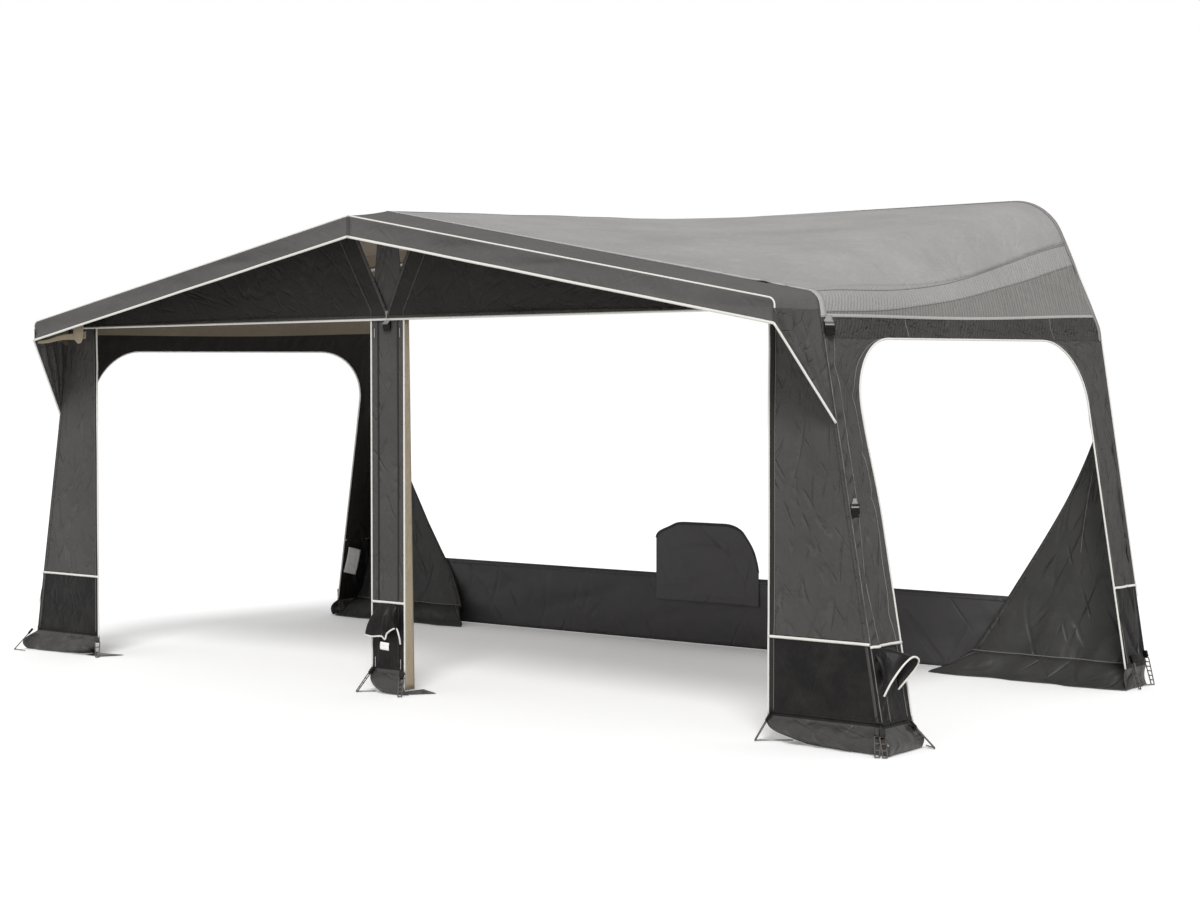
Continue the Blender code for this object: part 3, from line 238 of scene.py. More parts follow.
def band_height(y):
    return mix(BAND_FRONT, BAND_REAR, depth_share(y))


def spaced_run(profile, end_run, share):
    """The length along a profile at a share of a panel's width, with its bend on one column."""
    bend = profile.runs[1]
    if share < EAVE_SPAN:
        return bend * share / EAVE_SPAN
    return mix(bend, end_run, (share - EAVE_SPAN) / (1.0 - EAVE_SPAN))


# Finishes

WHITE = (1.0, 1.0, 1.0)


def add_node(tree, kind, links, **values):
    """A shader node with its sockets and settings given, and its other sockets linked."""
    node = tree.nodes.new(kind)
    for key, value in values.items():
        if key in node.inputs:
            node.inputs[key].default_value = value
        else:
            setattr(node, key, value)
    for name, source in links.items():
        tree.links.new(source, node.inputs[name])
    return node


def finish(name, colour, roughness, metallic=0.0):
    material = bpy.data.materials.new(name)
    material.use_nodes = True
    shader = material.node_tree.nodes["Principled BSDF"]
    shader.inputs["Base Color"].default_value = (*colour, 1.0)
    shader.inputs["Roughness"].default_value = roughness
    shader.inputs["Metallic"].default_value = metallic
    return material, material.node_tree, shader


def object_place(tree):
    return tree.nodes.new("ShaderNodeTexCoord").outputs["Object"]


def cut_place(tree):
    return add_node(tree, "ShaderNodeUVMap", {}, uv_map="cut").outputs["UV"]


def texture(tree, kind, coordinates, output="Fac", **values):
    return add_node(tree, f"ShaderNodeTex{kind}", {"Vector": coordinates}, **values).outputs[output]


def mapped(tree, source, scale=WHITE, turn=0.0, kind="POINT"):
    return add_node(tree, "ShaderNodeMapping", {"Vector": source}, vector_type=kind, Scale=scale,
                    Rotation=(0.0, 0.0, turn)).outputs["Vector"]


def map_range(tree, source, start, end, low, high, kind="LINEAR"):
    ends = {"From Min": start, "From Max": end, "To Min": low, "To Max": high}
    node = add_node(tree, "ShaderNodeMapRange", {"Value": source}, interpolation_type=kind, **ends)
    return node.outputs["Result"]


def colour_ramp(tree, factor, dark, light, low=0.3, high=0.7):
    ramp = add_node(tree, "ShaderNodeValToRGB", {"Fac": factor})
    for element, position, colour in zip(ramp.color_ramp.elements, (low, high), (dark, light)):
        element.position = position
        element.color = (*colour, 1.0)
    return ramp.outputs["Color"]


def multiply(tree, first, second):
    return add_node(tree, "ShaderNodeMix", {"A": first, "B": second}, data_type="RGBA",
                    blend_type="MULTIPLY", Factor=1.0).outputs["Result"]


def calculate(tree, operation, first, second):
    node = add_node(tree, "ShaderNodeMath", {}, operation=operation)
    for socket, value in zip(node.inputs, (first, second)):
        if isinstance(value, float):
            socket.default_value = value
        else:
            tree.links.new(value, socket)
    return node.outputs["Value"]


def folds(tree, source, scale):
    """Fine broken creases in two ways, like those left in cloth that has been packed away."""
    lines = []
    for turn in (0.65, -0.45):
        way = mapped(tree, source, (1.0, 4.5, 1.0), turn, "TEXTURE")
        wave = texture(tree, "Noise", way, Scale=scale, Detail=1.5)
        lines.append(calculate(tree, "ABSOLUTE", calculate(tree, "SUBTRACT", wave, 0.5), 0.0))
    edge = map_range(tree, calculate(tree, "MINIMUM", *lines), 0.0, 0.03, 1.0, 0.0, "SMOOTHSTEP")
    patch = texture(tree, "Noise", source, Scale=scale * 1.4, Detail=1.0)
    broken = calculate(tree, "MULTIPLY", edge, map_range(tree, patch, 0.42, 0.60, 0.0, 1.0))
    return calculate(tree, "SUBTRACT", 1.0, broken)


def shade(colour, factor):
    return tuple(channel * factor for channel in colour)


def dress(tree, shader, base, layers, gloss=0.5):
    """Links the colour, and layers of height, distance and strength laid one over the other."""
    tree.links.new(base, shader.inputs["Base Color"])
    shader.inputs["Specular IOR Level"].default_value = gloss
    links = {}
    for height, distance, strength in layers:
        links["Height"] = height
        bump = add_node(tree, "ShaderNodeBump", links, Strength=strength, Distance=distance)
        links["Normal"] = bump.outputs["Normal"]
    tree.links.new(links["Normal"], shader.inputs["Normal"])


def vary_roughness(tree, shader, source, low, high):
    tree.links.new(map_range(tree, source, 0.0, 1.0, low, high), shader.inputs["Roughness"])


def woven(name, colour, roughness=0.85, *, contrast, ripple, crumple=0.25, pleats=0.0,
          pleat_depth=0.0045):
    """Coated woven cloth: a weave on the cut's own grid, slubs, soft creases with a painted highlight along
    their lines, and a little unevenness.
    """
    material, tree, shader = finish(name, colour, roughness)
    place, cut = object_place(tree), cut_place(tree)
    warp, weft = (texture(tree, "Wave", cut, bands_direction=way, Scale=210.0, Distortion=0.3)
                  for way in "XY")
    slub = texture(tree, "Noise", mapped(tree, cut, (240.0, 18.0, 1.0)), Scale=1.0, Detail=3.0)
    cloud = texture(tree, "Noise", place, Scale=2.2, Detail=5.0, Roughness=0.6)
    soft = texture(tree, "Noise", place, Scale=7.0, Detail=4.0, Roughness=0.55, Distortion=0.6)
    grid = calculate(tree, "MAXIMUM", warp, weft)
    packed = folds(tree, cut, 7.5)
    base = colour_ramp(tree, cloud, shade(colour, 1.0 - contrast), shade(colour, 1.0 + contrast))
    # The last tint lightens the fine crease lines: partly wear, partly a painted highlight on the creases.
    for tint in (colour_ramp(tree, slub, shade(WHITE, 0.90), WHITE),
                 colour_ramp(tree, grid, shade(WHITE, 0.84), WHITE, 0.2, 0.9),
                 colour_ramp(tree, packed, shade(WHITE, 1.0 + crumple * 0.22), WHITE, 0.0, 0.8)):
        base = multiply(tree, base, tint)
    layers = [(soft, 0.034, ripple), (packed, 0.009, crumple), (slub, 0.0006, 0.3), (grid, 0.0004, 0.35)]
    if pleats:
        gathers = texture(tree, "Wave", mapped(tree, cut, turn=0.30), bands_direction="Y", Scale=13.0,
                          Distortion=2.4, Detail=2.0)
        layers.insert(1, (gathers, pleat_depth, pleats))
    dress(tree, shader, base, layers, 0.3)
    return material


def coated(name, colour, roughness, crumple, size, dust=(0.16, 0.15, 0.14), gloss=0.5):
    """Smooth plastic-coated cloth that has been folded: crumples, fine grain and a little dust."""
    material, tree, shader = finish(name, colour, roughness)
    place = object_place(tree)
    fold = texture(tree, "Noise", place, Scale=size, Detail=2.0, Roughness=0.45, Distortion=0.5)
    grain = texture(tree, "Voronoi", place, "Distance", Scale=900.0)
    dirt = texture(tree, "Noise", place, Scale=5.0, Detail=8.0, Roughness=0.7)
    dusty = tuple(mix(a, b, 0.16) for a, b in zip(colour, dust))
    vary_roughness(tree, shader, dirt, roughness - 0.08, roughness + 0.18)
    layers = [(fold, 0.03, crumple), (folds(tree, cut_place(tree), size * 0.8), 0.008, crumple),
              (grain, 0.0002, 0.2)]
    dress(tree, shader, colour_ramp(tree, dirt, colour, dusty, 0.45, 0.8), layers, gloss)
    return material


def metal(name, colour, roughness):
    material, tree, shader = finish(name, colour, roughness, 1.0)
    place = object_place(tree)
    bloom = texture(tree, "Noise", place, Scale=38.0, Detail=6.0, Roughness=0.65)
    scratch = texture(tree, "Noise", mapped(tree, place, (900.0, 900.0, 25.0)), Scale=1.0, Detail=2.0)
    vary_roughness(tree, shader, bloom, roughness - 0.12, roughness + 0.12)
    dress(tree, shader, colour_ramp(tree, bloom, shade(colour, 0.82), shade(colour, 1.08)),
          [(scratch, 0.0002, 0.25)])
    return material


def moulded(name, colour, roughness):
    material, tree, shader = finish(name, colour, roughness)
    place = object_place(tree)
    grain = texture(tree, "Noise", place, Scale=700.0, Detail=3.0)
    wear = texture(tree, "Noise", place, Scale=30.0, Detail=6.0, Roughness=0.7)
    dress(tree, shader, colour_ramp(tree, wear, shade(colour, 0.85), shade(colour, 1.25), 0.35, 0.8),
          [(grain, 0.0002, 0.4)], 0.25)
    return material


def webbing(name, colour):
    material, tree, shader = finish(name, colour, 0.8)
    rib = texture(tree, "Wave", cut_place(tree), bands_direction="DIAGONAL", Scale=120.0)
    dress(tree, shader, colour_ramp(tree, rib, shade(colour, 0.7), shade(colour, 1.1), 0.1, 0.9),
          [(rib, 0.0008, 0.6)])
    return material


LIGHT = woven("light grey canopy cloth", (0.375, 0.368, 0.357), contrast=0.09, ripple=0.45)
PLEATED = woven("light grey pleated shoulder cloth", (0.375, 0.368, 0.357), contrast=0.05, ripple=0.30,
                pleats=0.6)
LOW_PLEATED = woven("grey pleated shoulder cloth", (0.262, 0.254, 0.243), contrast=0.05, ripple=0.30,
                    pleats=0.9)
SEAM = woven("grey seam cloth", (0.285, 0.278, 0.268), contrast=0.05, ripple=0.10)
HEM = woven("light grey hem cloth", (0.470, 0.462, 0.450), contrast=0.04, ripple=0.20)
DARK = woven("dark grey wall cloth", (0.083, 0.0795, 0.076), contrast=0.12, ripple=0.60, crumple=0.8)
GATHERED = woven("dark grey gathered cloth", (0.070, 0.067, 0.064), contrast=0.14, ripple=0.70, crumple=0.9,
                 pleats=1.0, pleat_depth=0.007)
GABLE = woven("dark grey gable cloth", (0.034, 0.031, 0.029), contrast=0.14, ripple=0.60, crumple=0.6)
INSIDE = woven("dark inner face", (0.016, 0.013, 0.012), contrast=0.10, ripple=0.45)
FASCIA = woven("grey visor cloth", (0.124, 0.119, 0.114), contrast=0.08, ripple=0.45)
# The darker copy of the beige lining, for its faces under the roof, visor and gussets: painted shade.
SHADED_BEIGE = woven("beige coated lining with painted shade", (0.195, 0.160, 0.115), 0.7, contrast=0.10, ripple=0.30)
# The lighter copy of the same beige lining, for its edges in the sun: painted light.
LIT_BEIGE = woven("beige coated edge with painted light", (0.470, 0.395, 0.282), 0.7, contrast=0.08, ripple=0.30)
SKIRT = coated("grey coated skirt", (0.072, 0.069, 0.072), 0.50, crumple=0.75, size=4.0)
WHEEL = coated("grey coated wheel cover", (0.092, 0.089, 0.092), 0.50, crumple=0.75, size=4.5)
FLAP = coated("dark coated flap cloth", (0.040, 0.040, 0.039), 0.48, crumple=0.85, size=4.5)
BAND = coated("black plastic band", (0.009, 0.008, 0.008), 0.42, crumple=0.35, size=9.0, gloss=0.22)
MUD = coated("grey plastic mud flap", (0.040, 0.038, 0.036), 0.30, crumple=0.45, size=8.0, gloss=0.65)
PIPING = coated("white vinyl piping", (0.82, 0.80, 0.76), 0.45, crumple=0.1, size=60.0,
                dust=(0.5, 0.46, 0.40))
LABEL = coated("white care label", (0.92, 0.91, 0.89), 0.6, crumple=0.3, size=40.0,
               dust=(0.5, 0.48, 0.44))
STRAP = webbing("grey webbing", (0.36, 0.35, 0.34))
STITCH = webbing("grey stitching", (0.22, 0.21, 0.20))
TAPE = webbing("black zip tape", (0.020, 0.019, 0.018))
STEEL = metal("zinc plated tube", (0.58, 0.58, 0.60), 0.36)
WIRE = metal("galvanised wire", (0.42, 0.40, 0.37), 0.45)
RUBBER = moulded("grey moulded rubber", (0.13, 0.12, 0.11), 0.6)
PLASTIC = moulded("black moulded plastic", (0.006, 0.006, 0.006), 0.45)


# Making pieces

def mesh_from(name, bm, materials):
    mesh = bpy.data.meshes.new(name)
    bm.to_mesh(mesh)
    bm.free()
    for material in materials:
        mesh.materials.append(material)
    return mesh


def settle(item, nodes=()):
    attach(item, BODY)
    if nodes:
        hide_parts(*nodes)
    return item


def longest(lines):
    return max(sum((b - a).length for a, b in zip(line, line[1:])) for line in lines)


def sewn(name, place, across, down, finishes, outward, nodes=(), pick=None,
         lining=(), trims=(), thickness=CLOTH):
    """A sewn panel laid on a surface, with its cut in metres as its map, and its own linings inside."""
    bm = bmesh.new()
    cut = bm.loops.layers.uv.new("cut")
    bmesh.ops.create_grid(bm, x_segments=across, y_segments=down, size=0.5, calc_uvs=True)
    width = longest([[place(i / across, v) for i in range(across + 1)] for v in (0.0, 0.5, 1.0)])
    length = longest([[place(u, j / down) for j in range(down + 1)] for u in (0.0, 0.5, 1.0)])
    for face in bm.faces:
        middle = face.calc_center_median()
        face.material_index = pick(middle.x + 0.5, middle.y + 0.5) if pick else 0
        face.smooth = True
    for vert in bm.verts:
        vert.co = place(vert.co.x + 0.5, vert.co.y + 0.5)
    for face in bm.faces:
        for loop in face.loops:
            loop[cut].uv = (loop[cut].uv.x * width, loop[cut].uv.y * length)
    bm.normal_update()
    if sum(face.normal.dot(outward) * face.calc_area() for face in bm.faces) < 0.0:
        bmesh.ops.reverse_faces(bm, faces=bm.faces[:])
    area = sum(face.calc_area() for face in bm.faces)
    item = placed(name, mesh_from(name, bm, [*finishes, *lining]))
    wall = item.modifiers.new("cloth", "SOLIDIFY")
    wall.thickness = thickness
    wall.offset = -1.0
    wall.material_offset = len(finishes) if lining else 0
    settle(item, nodes)
    return item


def wires(name, lines, radius, material):
    """Round rods or beads along lines of points, as one closed mesh."""
    curve = bpy.data.curves.new(name, "CURVE")
    curve.dimensions = "3D"
    curve.bevel_depth = radius
    curve.bevel_resolution = 2
    curve.use_fill_caps = True
    for points in lines:
        spline = curve.splines.new("POLY")
        spline.points.add(len(points) - 1)
        for curve_point, point in zip(spline.points, points):
            curve_point.co = (*point, 1.0)
    maker = placed(name, curve)
    bpy.context.view_layer.update()
    mesh = bpy.data.meshes.new_from_object(maker.evaluated_get(bpy.context.evaluated_depsgraph_get()))
    bpy.data.objects.remove(maker, do_unlink=True)
    bm = bmesh.new()
    bm.from_mesh(mesh)
    bmesh.ops.remove_doubles(bm, verts=bm.verts[:], dist=radius * 0.02)
    bmesh.ops.recalc_face_normals(bm, faces=bm.faces[:])
    for face in bm.faces:
        face.smooth = True
    bm.to_mesh(mesh)
    bm.free()
    mesh.name = name
    mesh.materials.clear()
    mesh.materials.append(material)
    return settle(placed(name, mesh))


def piping(name, points, radius):
    return wires(name, [points], radius, PIPING)


def blocks(name, boxes, material, bevel=0.0015):
    """Moulded blocks as one mesh. Each box is its centre, its three ways and its three half sizes."""
    bm = bmesh.new()
    for centre, ways, halves in boxes:
        made = bmesh.ops.create_cube(bm, size=2.0)["verts"]
        for vert in made:
            offsets = (way * co * half for way, co, half in zip(ways, vert.co, halves))
            vert.co = centre + sum(offsets, Vector())
    bmesh.ops.recalc_face_normals(bm, faces=bm.faces[:])
    item = placed(name, mesh_from(name, bm, [material]))
    edge = item.modifiers.new("edge", "BEVEL")
    edge.width = bevel
    edge.segments = 3
    return settle(item)


def spot_on(place, u, v, outward):
    """A point of a surface and the way that it faces."""
    step = 0.004
    across = place(min(u + step, 1.0), v) - place(max(u - step, 0.0), v)
    along = place(u, min(v + step, 1.0)) - place(u, max(v - step, 0.0))
    normal = across.cross(along).normalized()
    if normal.dot(outward) < 0.0:
        normal.negate()
    return place(u, v), normal


def row(v):
    """The path across a panel along one of its rows."""
    return lambda u: (u, v)


def tape(name, place, path, width, outward, material, steps, slot="wall_cloth", lift=0.0006,
         thickness=0.0012):
    """A flat strip along a path on a surface."""
    def centre(share):
        return spot_on(place, *path(share), outward)

    def strip(u, v):
        point, normal = centre(u)
        ahead = centre(min(u + 0.01, 1.0))[0] - centre(max(u - 0.01, 0.0))[0]
        side = normal.cross(ahead.normalized())
        return point + side * width * (v - 0.5) + normal * (lift + thickness)
    return sewn(name, strip, steps, 2, [material], outward, thickness=thickness)


def tapes(prefix, place, outward, rows, *cloth):
    """Tapes on one surface, each by its name, path, width, material and steps."""
    return [tape(f"{prefix}_{name}", place, path, width, outward, material, steps, *cloth)
            for name, path, width, material, steps in rows]


def bead_on(name, place, path, radius, outward, steps):
    points = []
    for step in range(steps + 1):
        point, normal = spot_on(place, *path(step / steps), outward)
        points.append(point + normal * radius * 0.5)
    return piping(name, points, radius)


# Surfaces of the panels

def roof_place(u, v):
    """The roof from its left shoulder seam over the ridge to the right one."""
    sign = 1.0 if u >= 0.5 else -1.0
    reach = abs(2.0 * u - 1.0)
    y = mix(FRONT_Y, REAR_Y, v)
    share = depth_share(y)
    point = FRONT_PROFILE.at(reach * SEAM_RUN_FRONT).lerp(REAR_PROFILE.at(reach * SEAM_RUN_REAR), share)
    sag = 0.018 * math.sin(math.pi * min(reach / 0.8, 1.0)) + 0.075 * smooth((reach - 0.86) / 0.14)
    spot = Vector((sign * point.x, y, point.y - sag * math.sin(math.pi * share) ** 2))
    held = bump_of(v) * smooth((1.0 - reach) / 0.1)
    spot.z += 0.006 * held * wave_noise(spot, 0.55, 3.0, (0.7, 1.6, 0.0))
    pull = math.exp(-((reach - 0.95) / 0.12) ** 2) * math.exp(-(v / 0.10) ** 2) * smooth(v / 0.02)
    spot.z -= 0.016 * pull * crease(spot, 0.09, 7.0, (1.0, 0.35, 1.0))
    return spot


def shoulder_rows(profile, seam_run, eave_line, band):
    """The lengths along a profile at a shoulder's seam, its eave line and the edge of its band."""
    return seam_run, profile.run_at_height(eave_line), profile.run_at_height(band)


def roof_side_place(sign):
    front_rows = shoulder_rows(FRONT_PROFILE, SEAM_RUN_FRONT, EAVE_LINE_FRONT, BAND_FRONT)
    rear_rows = shoulder_rows(REAR_PROFILE, SEAM_RUN_REAR, EAVE_LINE_REAR, BAND_REAR)

    def run(rows, u):
        if u < EAVE_ROW:
            return mix(rows[0], rows[1], u / EAVE_ROW)
        return mix(rows[1], rows[2], (u - EAVE_ROW) / (1.0 - EAVE_ROW))

    def place(u, v):
        y = mix(FRONT_Y, REAR_Y, v)
        share = depth_share(y)
        point = FRONT_PROFILE.at(run(front_rows, u)).lerp(REAR_PROFILE.at(run(rear_rows, u)), share)
        below = (u - EAVE_ROW) / (1.0 - EAVE_ROW)
        sag = mix(0.075, 0.012, smooth(u / EAVE_ROW)) * (1.0 - smooth(below))
        spot = Vector((sign * point.x, y, point.y - sag * math.sin(math.pi * share) ** 2))
        pleat = bump_of(u / EAVE_ROW) * smooth((v - 0.35) / 0.4)
        spot.x += sign * 0.0025 * pleat * math.sin(120.0 * y + 6.0 * u + 2.5 * wave_noise(spot, 0.3, 5.0))
        band = bump_of(below) * smooth(v / 0.03)
        spot.x -= sign * 0.009 * band * wave_noise(spot, 0.09, 8.0, (1.0, 1.0, 0.35))
        spot.x -= sign * 0.008 * band * crease(spot, 0.11, 9.0, (1.0, 1.0, 0.5))
        return spot
    return place


def fascia_edge(x):
    """Height of the visor's lower edge."""
    return VISOR_PEAK - FASCIA_DEPTH - VISOR_SLOPE * x


def visor_place(sign):
    section = Profile(rounded_line([(0.0, 0.0), (1.0, 0.0), (1.0, 1.0)], [0.05], 3))
    rear_end = FRONT_PROFILE.run_at_height(VISOR_END_HEIGHT)

    def place(u, v):
        share = section.at(v * section.runs[-1])
        rear = FRONT_PROFILE.at(spaced_run(FRONT_PROFILE, rear_end, u))
        front = VISOR_PROFILE.at(spaced_run(VISOR_PROFILE, VISOR_PROFILE.runs[-1], u))
        low = Vector((front.x, fascia_edge(front.x)))
        point = rear.lerp(front.lerp(low, share.y), share.x)
        spot = Vector((sign * point.x, mix(FRONT_Y, VISOR_Y, share.x), point.y))
        inside = bump_of(share.y) if share.y > 0.0 else 0.0
        spot.y += inside * (0.009 * wave_noise(spot, 0.30, 4.0, (0.40, 1.0, 3.4)) + 0.005)
        spot.y += 0.009 * inside * crease(spot, 0.36, 5.0, (0.35, 1.0, 2.4)) * smooth((u - 0.05) / 0.1)
        top = bump_of(share.x) if share.y == 0.0 else 0.0
        spot.z -= top * (0.004 + 0.006 * crease(spot, 0.12, 6.0, (1.0, 0.4, 1.0)) * smooth((u - 0.3) / 0.4))
        return spot
    return place


def gusset_place(sign):
    top_front = Vector((VISOR_HALF, VISOR_Y, VISOR_END_HEIGHT))
    top_rear = Vector((corner_x(VISOR_END_HEIGHT), FRONT_Y, VISOR_END_HEIGHT))
    low_front = Vector((VISOR_HALF, VISOR_Y, fascia_edge(VISOR_HALF)))
    low_rear = Vector((GUSSET_HALF, FRONT_Y, GUSSET_HEIGHT))

    def place(u, v):
        point = top_front.lerp(top_rear, u).lerp(low_front.lerp(low_rear, u), v)
        inside = bump_of(v) * bump_of(u) + 0.4 * bump_of(v)
        along = (point - low_rear).normalized()
        fan = math.atan2(along.y, along.z)
        fold = 0.5 + 0.5 * math.sin(34.0 * fan + 4.0 * wave_noise(point, 0.2, 2.0))
        point.x -= inside * (0.004 + 0.016 * fold ** 2 * (0.4 + 0.6 * v))
        point.x -= 0.007 * inside * crease(point, 0.12, 4.0, (1.0, 1.4, 0.5))
        return Vector((sign * point.x, point.y, point.z))
    return place


def gable_place(sign):
    end = FRONT_PROFILE.run_at_height(EAVE_LINE_FRONT + 0.049)
    start = NECK_SHARES[sign] * EAVE_SHARE

    def place(u, v):
        top = FRONT_PROFILE.at(spaced_run(FRONT_PROFILE, end, mix(start, 1.0, u)))
        low = Vector((mix(0.0, corner_x(GABLE_BOTTOM), u), GABLE_BOTTOM))
        knee = Vector((low.x, mix(GABLE_BOTTOM + 0.034, mix(GABLE_BOTTOM, top.y, 1.0 / 3.0), u)))
        point = low.lerp(knee, v * 3.0) if v < 1.0 / 3.0 else knee.lerp(top, v * 1.5 - 0.5)
        spot = Vector((sign * point.x, FRONT_Y, point.y))
        inside = bump_of(u) * smooth(v / 0.25) * smooth((1.0 - v) / 0.2)
        spot.y += inside * (0.006 * wave_noise(spot, 0.45, 9.0, (0.5, 1.0, 1.6)) + 0.006)
        spot.y += 0.004 * inside * crease(spot, 0.5, 11.0, (0.3, 1.0, 1.0))
        return spot
    return place


def flap_bulge(z):
    """How far a mud flap stands out as it bulges and tucks under."""
    return 0.052 * math.sin(math.pi * 0.80 * (1.0 - z / FLAP_TOP)) if z < FLAP_TOP else 0.0


def above_foot(z):
    """Folds stay shallow where a foot passes when its leg is drawn up."""
    return mix(0.15, 1.0, smooth((z - 0.40) / 0.14))


def rumple(point, seed):
    """Loose folds of a mud flap, from -1 to 1."""
    wave = 0.6 * wave_noise(point, 0.14, seed, (1.0, 1.0, 0.7))
    return wave + 0.5 * crease(point, 0.09, seed, (0.7, 0.7, 1.0)) - 0.2


def panel_height(v, top):
    """Rows close together in the mud flap and wider above it."""
    if v < FLAP_ROWS:
        return max(FLAP_TOP * v / FLAP_ROWS, 0.0015)
    return mix(FLAP_TOP, top, (v - FLAP_ROWS) / (1.0 - FLAP_ROWS))


def row_of(z, top):
    """The row of a panel at a height above its mud flap."""
    return FLAP_ROWS + (z - FLAP_TOP) / (top - FLAP_TOP) * (1.0 - FLAP_ROWS)


def corner_column_place(sign):
    def place(u, v):
        z = panel_height(v, GABLE_BOTTOM)
        x = mix(DOOR_HALF, corner_x(z) + flap_bulge(z), u)
        y = FRONT_Y
        spot = Vector((x * sign, 0.0, z))
        if z < FLAP_TOP:
            low = 1.0 - z / FLAP_TOP
            free = smooth((1.0 - u) / 0.12)
            y -= flap_bulge(z) * mix(1.0, 0.80 + 0.40 * wave_noise(spot, 0.18, 12.0), free)
            y -= 0.024 * free * bump_of(low * 0.85) * rumple(spot, 13.0 + sign)
            tucked = (1.0 - u) ** 3 * low * low
            y += 0.100 * tucked
            x += 0.110 * tucked
        else:
            rise = smooth((z - FLAP_TOP) / 0.1) * smooth((GABLE_BOTTOM - z) / 0.1) * smooth((1.0 - u) / 0.12)
            rise *= above_foot(z)
            y += rise * smooth(u / 0.15) * (0.006 + 0.006 * wave_noise(spot, 0.35, 14.0, (1.6, 1.0, 0.5)))
            y += 0.004 * rise * crease(spot, 0.30, 15.0, (1.0, 1.0, 0.5))
        return Vector((sign * x, y, z))
    return place


def centre_column_place(u, v):
    z = panel_height(v, CENTRE_TOP)
    half = mix(POST_HALF, 0.070, smooth((z - GABLE_BOTTOM) / 0.40))
    y = BODY_Y
    x = mix(-half, half, u)
    if z < FLAP_TOP:
        low = 1.0 - z / FLAP_TOP
        y -= flap_bulge(z) * (0.60 + 0.45 * math.sin(3.0 * u + 0.2))
        y -= 0.016 * low * rumple(Vector((x, 0.0, z)), 17.0)
        x += 0.085 * low * low * (1.1 - 0.6 * u)
    else:
        spot = Vector((x, 0.0, z))
        y += 0.003 * above_foot(z) * bump_of(u) * (1.0 + wave_noise(spot, 0.2, 16.0, (1.5, 1.0, 0.3)))
    return Vector((x, y, z))


def opening_edge(share, front):
    """Depth, height and rise of the side opening's edge, from the ground up round its corner."""
    if share < ARC_ROW:
        z = panel_height(share / ARC_ROW, OPEN_ARC_START)
        y = mix(0.21, OPEN_FRONT, smooth((z - 0.9) / 0.47)) if front else OPEN_REAR
        return y, z, 0.0
    turn = math.pi / 2.0 * (share - ARC_ROW) / (1.0 - ARC_ROW)
    round_corner = 1.0 - math.cos(turn)
    y = OPEN_FRONT + OPEN_FRONT_ARC * round_corner if front else OPEN_REAR - OPEN_REAR_ARC * round_corner
    return y, OPEN_ARC_START, math.sin(turn)


def side_strip_place(sign, front):
    start_y = FRONT_Y if front else REAR_Y
    seed = 21.0 if front else 27.0

    def place(u, v):
        edge_y, z, rise = opening_edge(v, front)
        lead = flap_bulge(z) if front else 0.0
        y = mix(start_y - lead, edge_y, u)
        z = mix(z, band_height(y), rise)
        x = side_x(y, z)
        spot = Vector((0.0, y, z))
        if z < FLAP_TOP:
            free = smooth(u / 0.25)
            size = 1.0 if front else (-0.35 if sign > 0.0 else 1.5)
            x += size * flap_bulge(z) * mix(1.0, 0.80 + 0.35 * wave_noise(spot, 0.12, seed), free)
            x += 0.014 * size * free * bump_of(0.85 - 0.85 * z / FLAP_TOP) * rumple(spot, seed + 2.0)
            return Vector((sign * x, y, z))
        clear = smooth((z - FLAP_TOP) / 0.1) * smooth((band_height(y) - z) / 0.10)
        held = clear * smooth(u / 0.1) * smooth((1.0 - u) / 0.15) * (above_foot(z) if front else 1.0)
        x -= 0.006 * held * (1.0 + wave_noise(spot, 0.22, seed, (1.0, 1.3, 0.5)))
        x -= 0.012 * held * crease(spot, 0.17, seed + 1.0, (1.0, 1.3, 0.6))
        if front:
            sleeve = bump_of((y - FRONT_Y - 0.004) / (SLEEVE_WIDTH - 0.004)) * clear
            x += sleeve * (0.008 + 0.009 * math.sin(70.0 * z - 60.0 * y + 5.0 * wave_noise(spot, 0.12, 24.0)))
        return Vector((sign * x, y, z))
    return place


def sleeve_path(offset):
    """A line on the side wall, a set way behind the corner, from the eaves to the mud flap."""
    def path(share):
        v = mix(SIDE_TOP_ROW, SIDE_LOW_ROW, share)
        return offset / (opening_edge(v, True)[0] - FRONT_Y), v
    return path


def draught_place(sign):
    def place(u, v):
        if v < DRAUGHT_ROWS:
            toe = 1.0 - v / DRAUGHT_ROWS
            z = mix(0.004, FLAP_TOP, smooth(v / DRAUGHT_ROWS) ** 2)
        else:
            toe = 0.0
            z = mix(FLAP_TOP, DRAUGHT_TOP, (v - DRAUGHT_ROWS) / (1.0 - DRAUGHT_ROWS))
        rise = max(z - FLAP_TOP, 0.0) / (DRAUGHT_TOP - FLAP_TOP)
        y = DEPTH - 0.030 - 0.06 * smooth(1.0 - z / 0.36) - 0.16 * toe
        outer = side_x(y, z) - 0.0037
        share = mix(rise, smooth(rise), 0.20)
        inner = mix(mix(1.775, 1.625, smooth(toe)), outer - 0.030, share)
        x = mix(inner, outer, u)
        spot = Vector((x, 0.0, z))
        loose = (1.0 - rise) ** 1.5 * smooth((1.0 - u) / 0.15)
        fold = 0.018 * math.sin(3.0 * math.pi * u) ** 2 * (1.0 - rise) ** 2
        fold += loose * (0.010 + 0.010 * wave_noise(spot, 0.26, 31.0 + sign, (1.0, 1.0, 0.6)))
        fold += 0.010 * loose * crease(spot, 0.30, 33.0 + sign, (1.0, 1.0, 0.5)) * bump_of(0.2 + u * 0.6)
        hem = smooth((u - 0.35) / 0.5) * smooth((0.15 - z) / 0.1)
        fold += 0.016 * hem * (1.0 + wave_noise(spot, 0.13, 36.0 + sign, (1.0, 1.0, 0.5)))
        y -= fold
        if toe > 0.0:
            y -= 0.030 * bump_of(toe) * bump_of(u) * wave_noise(spot, 0.16, 37.0, (1.0, 1.0, 0.6))
            z += 0.014 * bump_of(toe) * (1.0 + wave_noise(Vector((x, y, 0.0)), 0.10, 35.0))
        return Vector((sign * x, y, z))
    return place


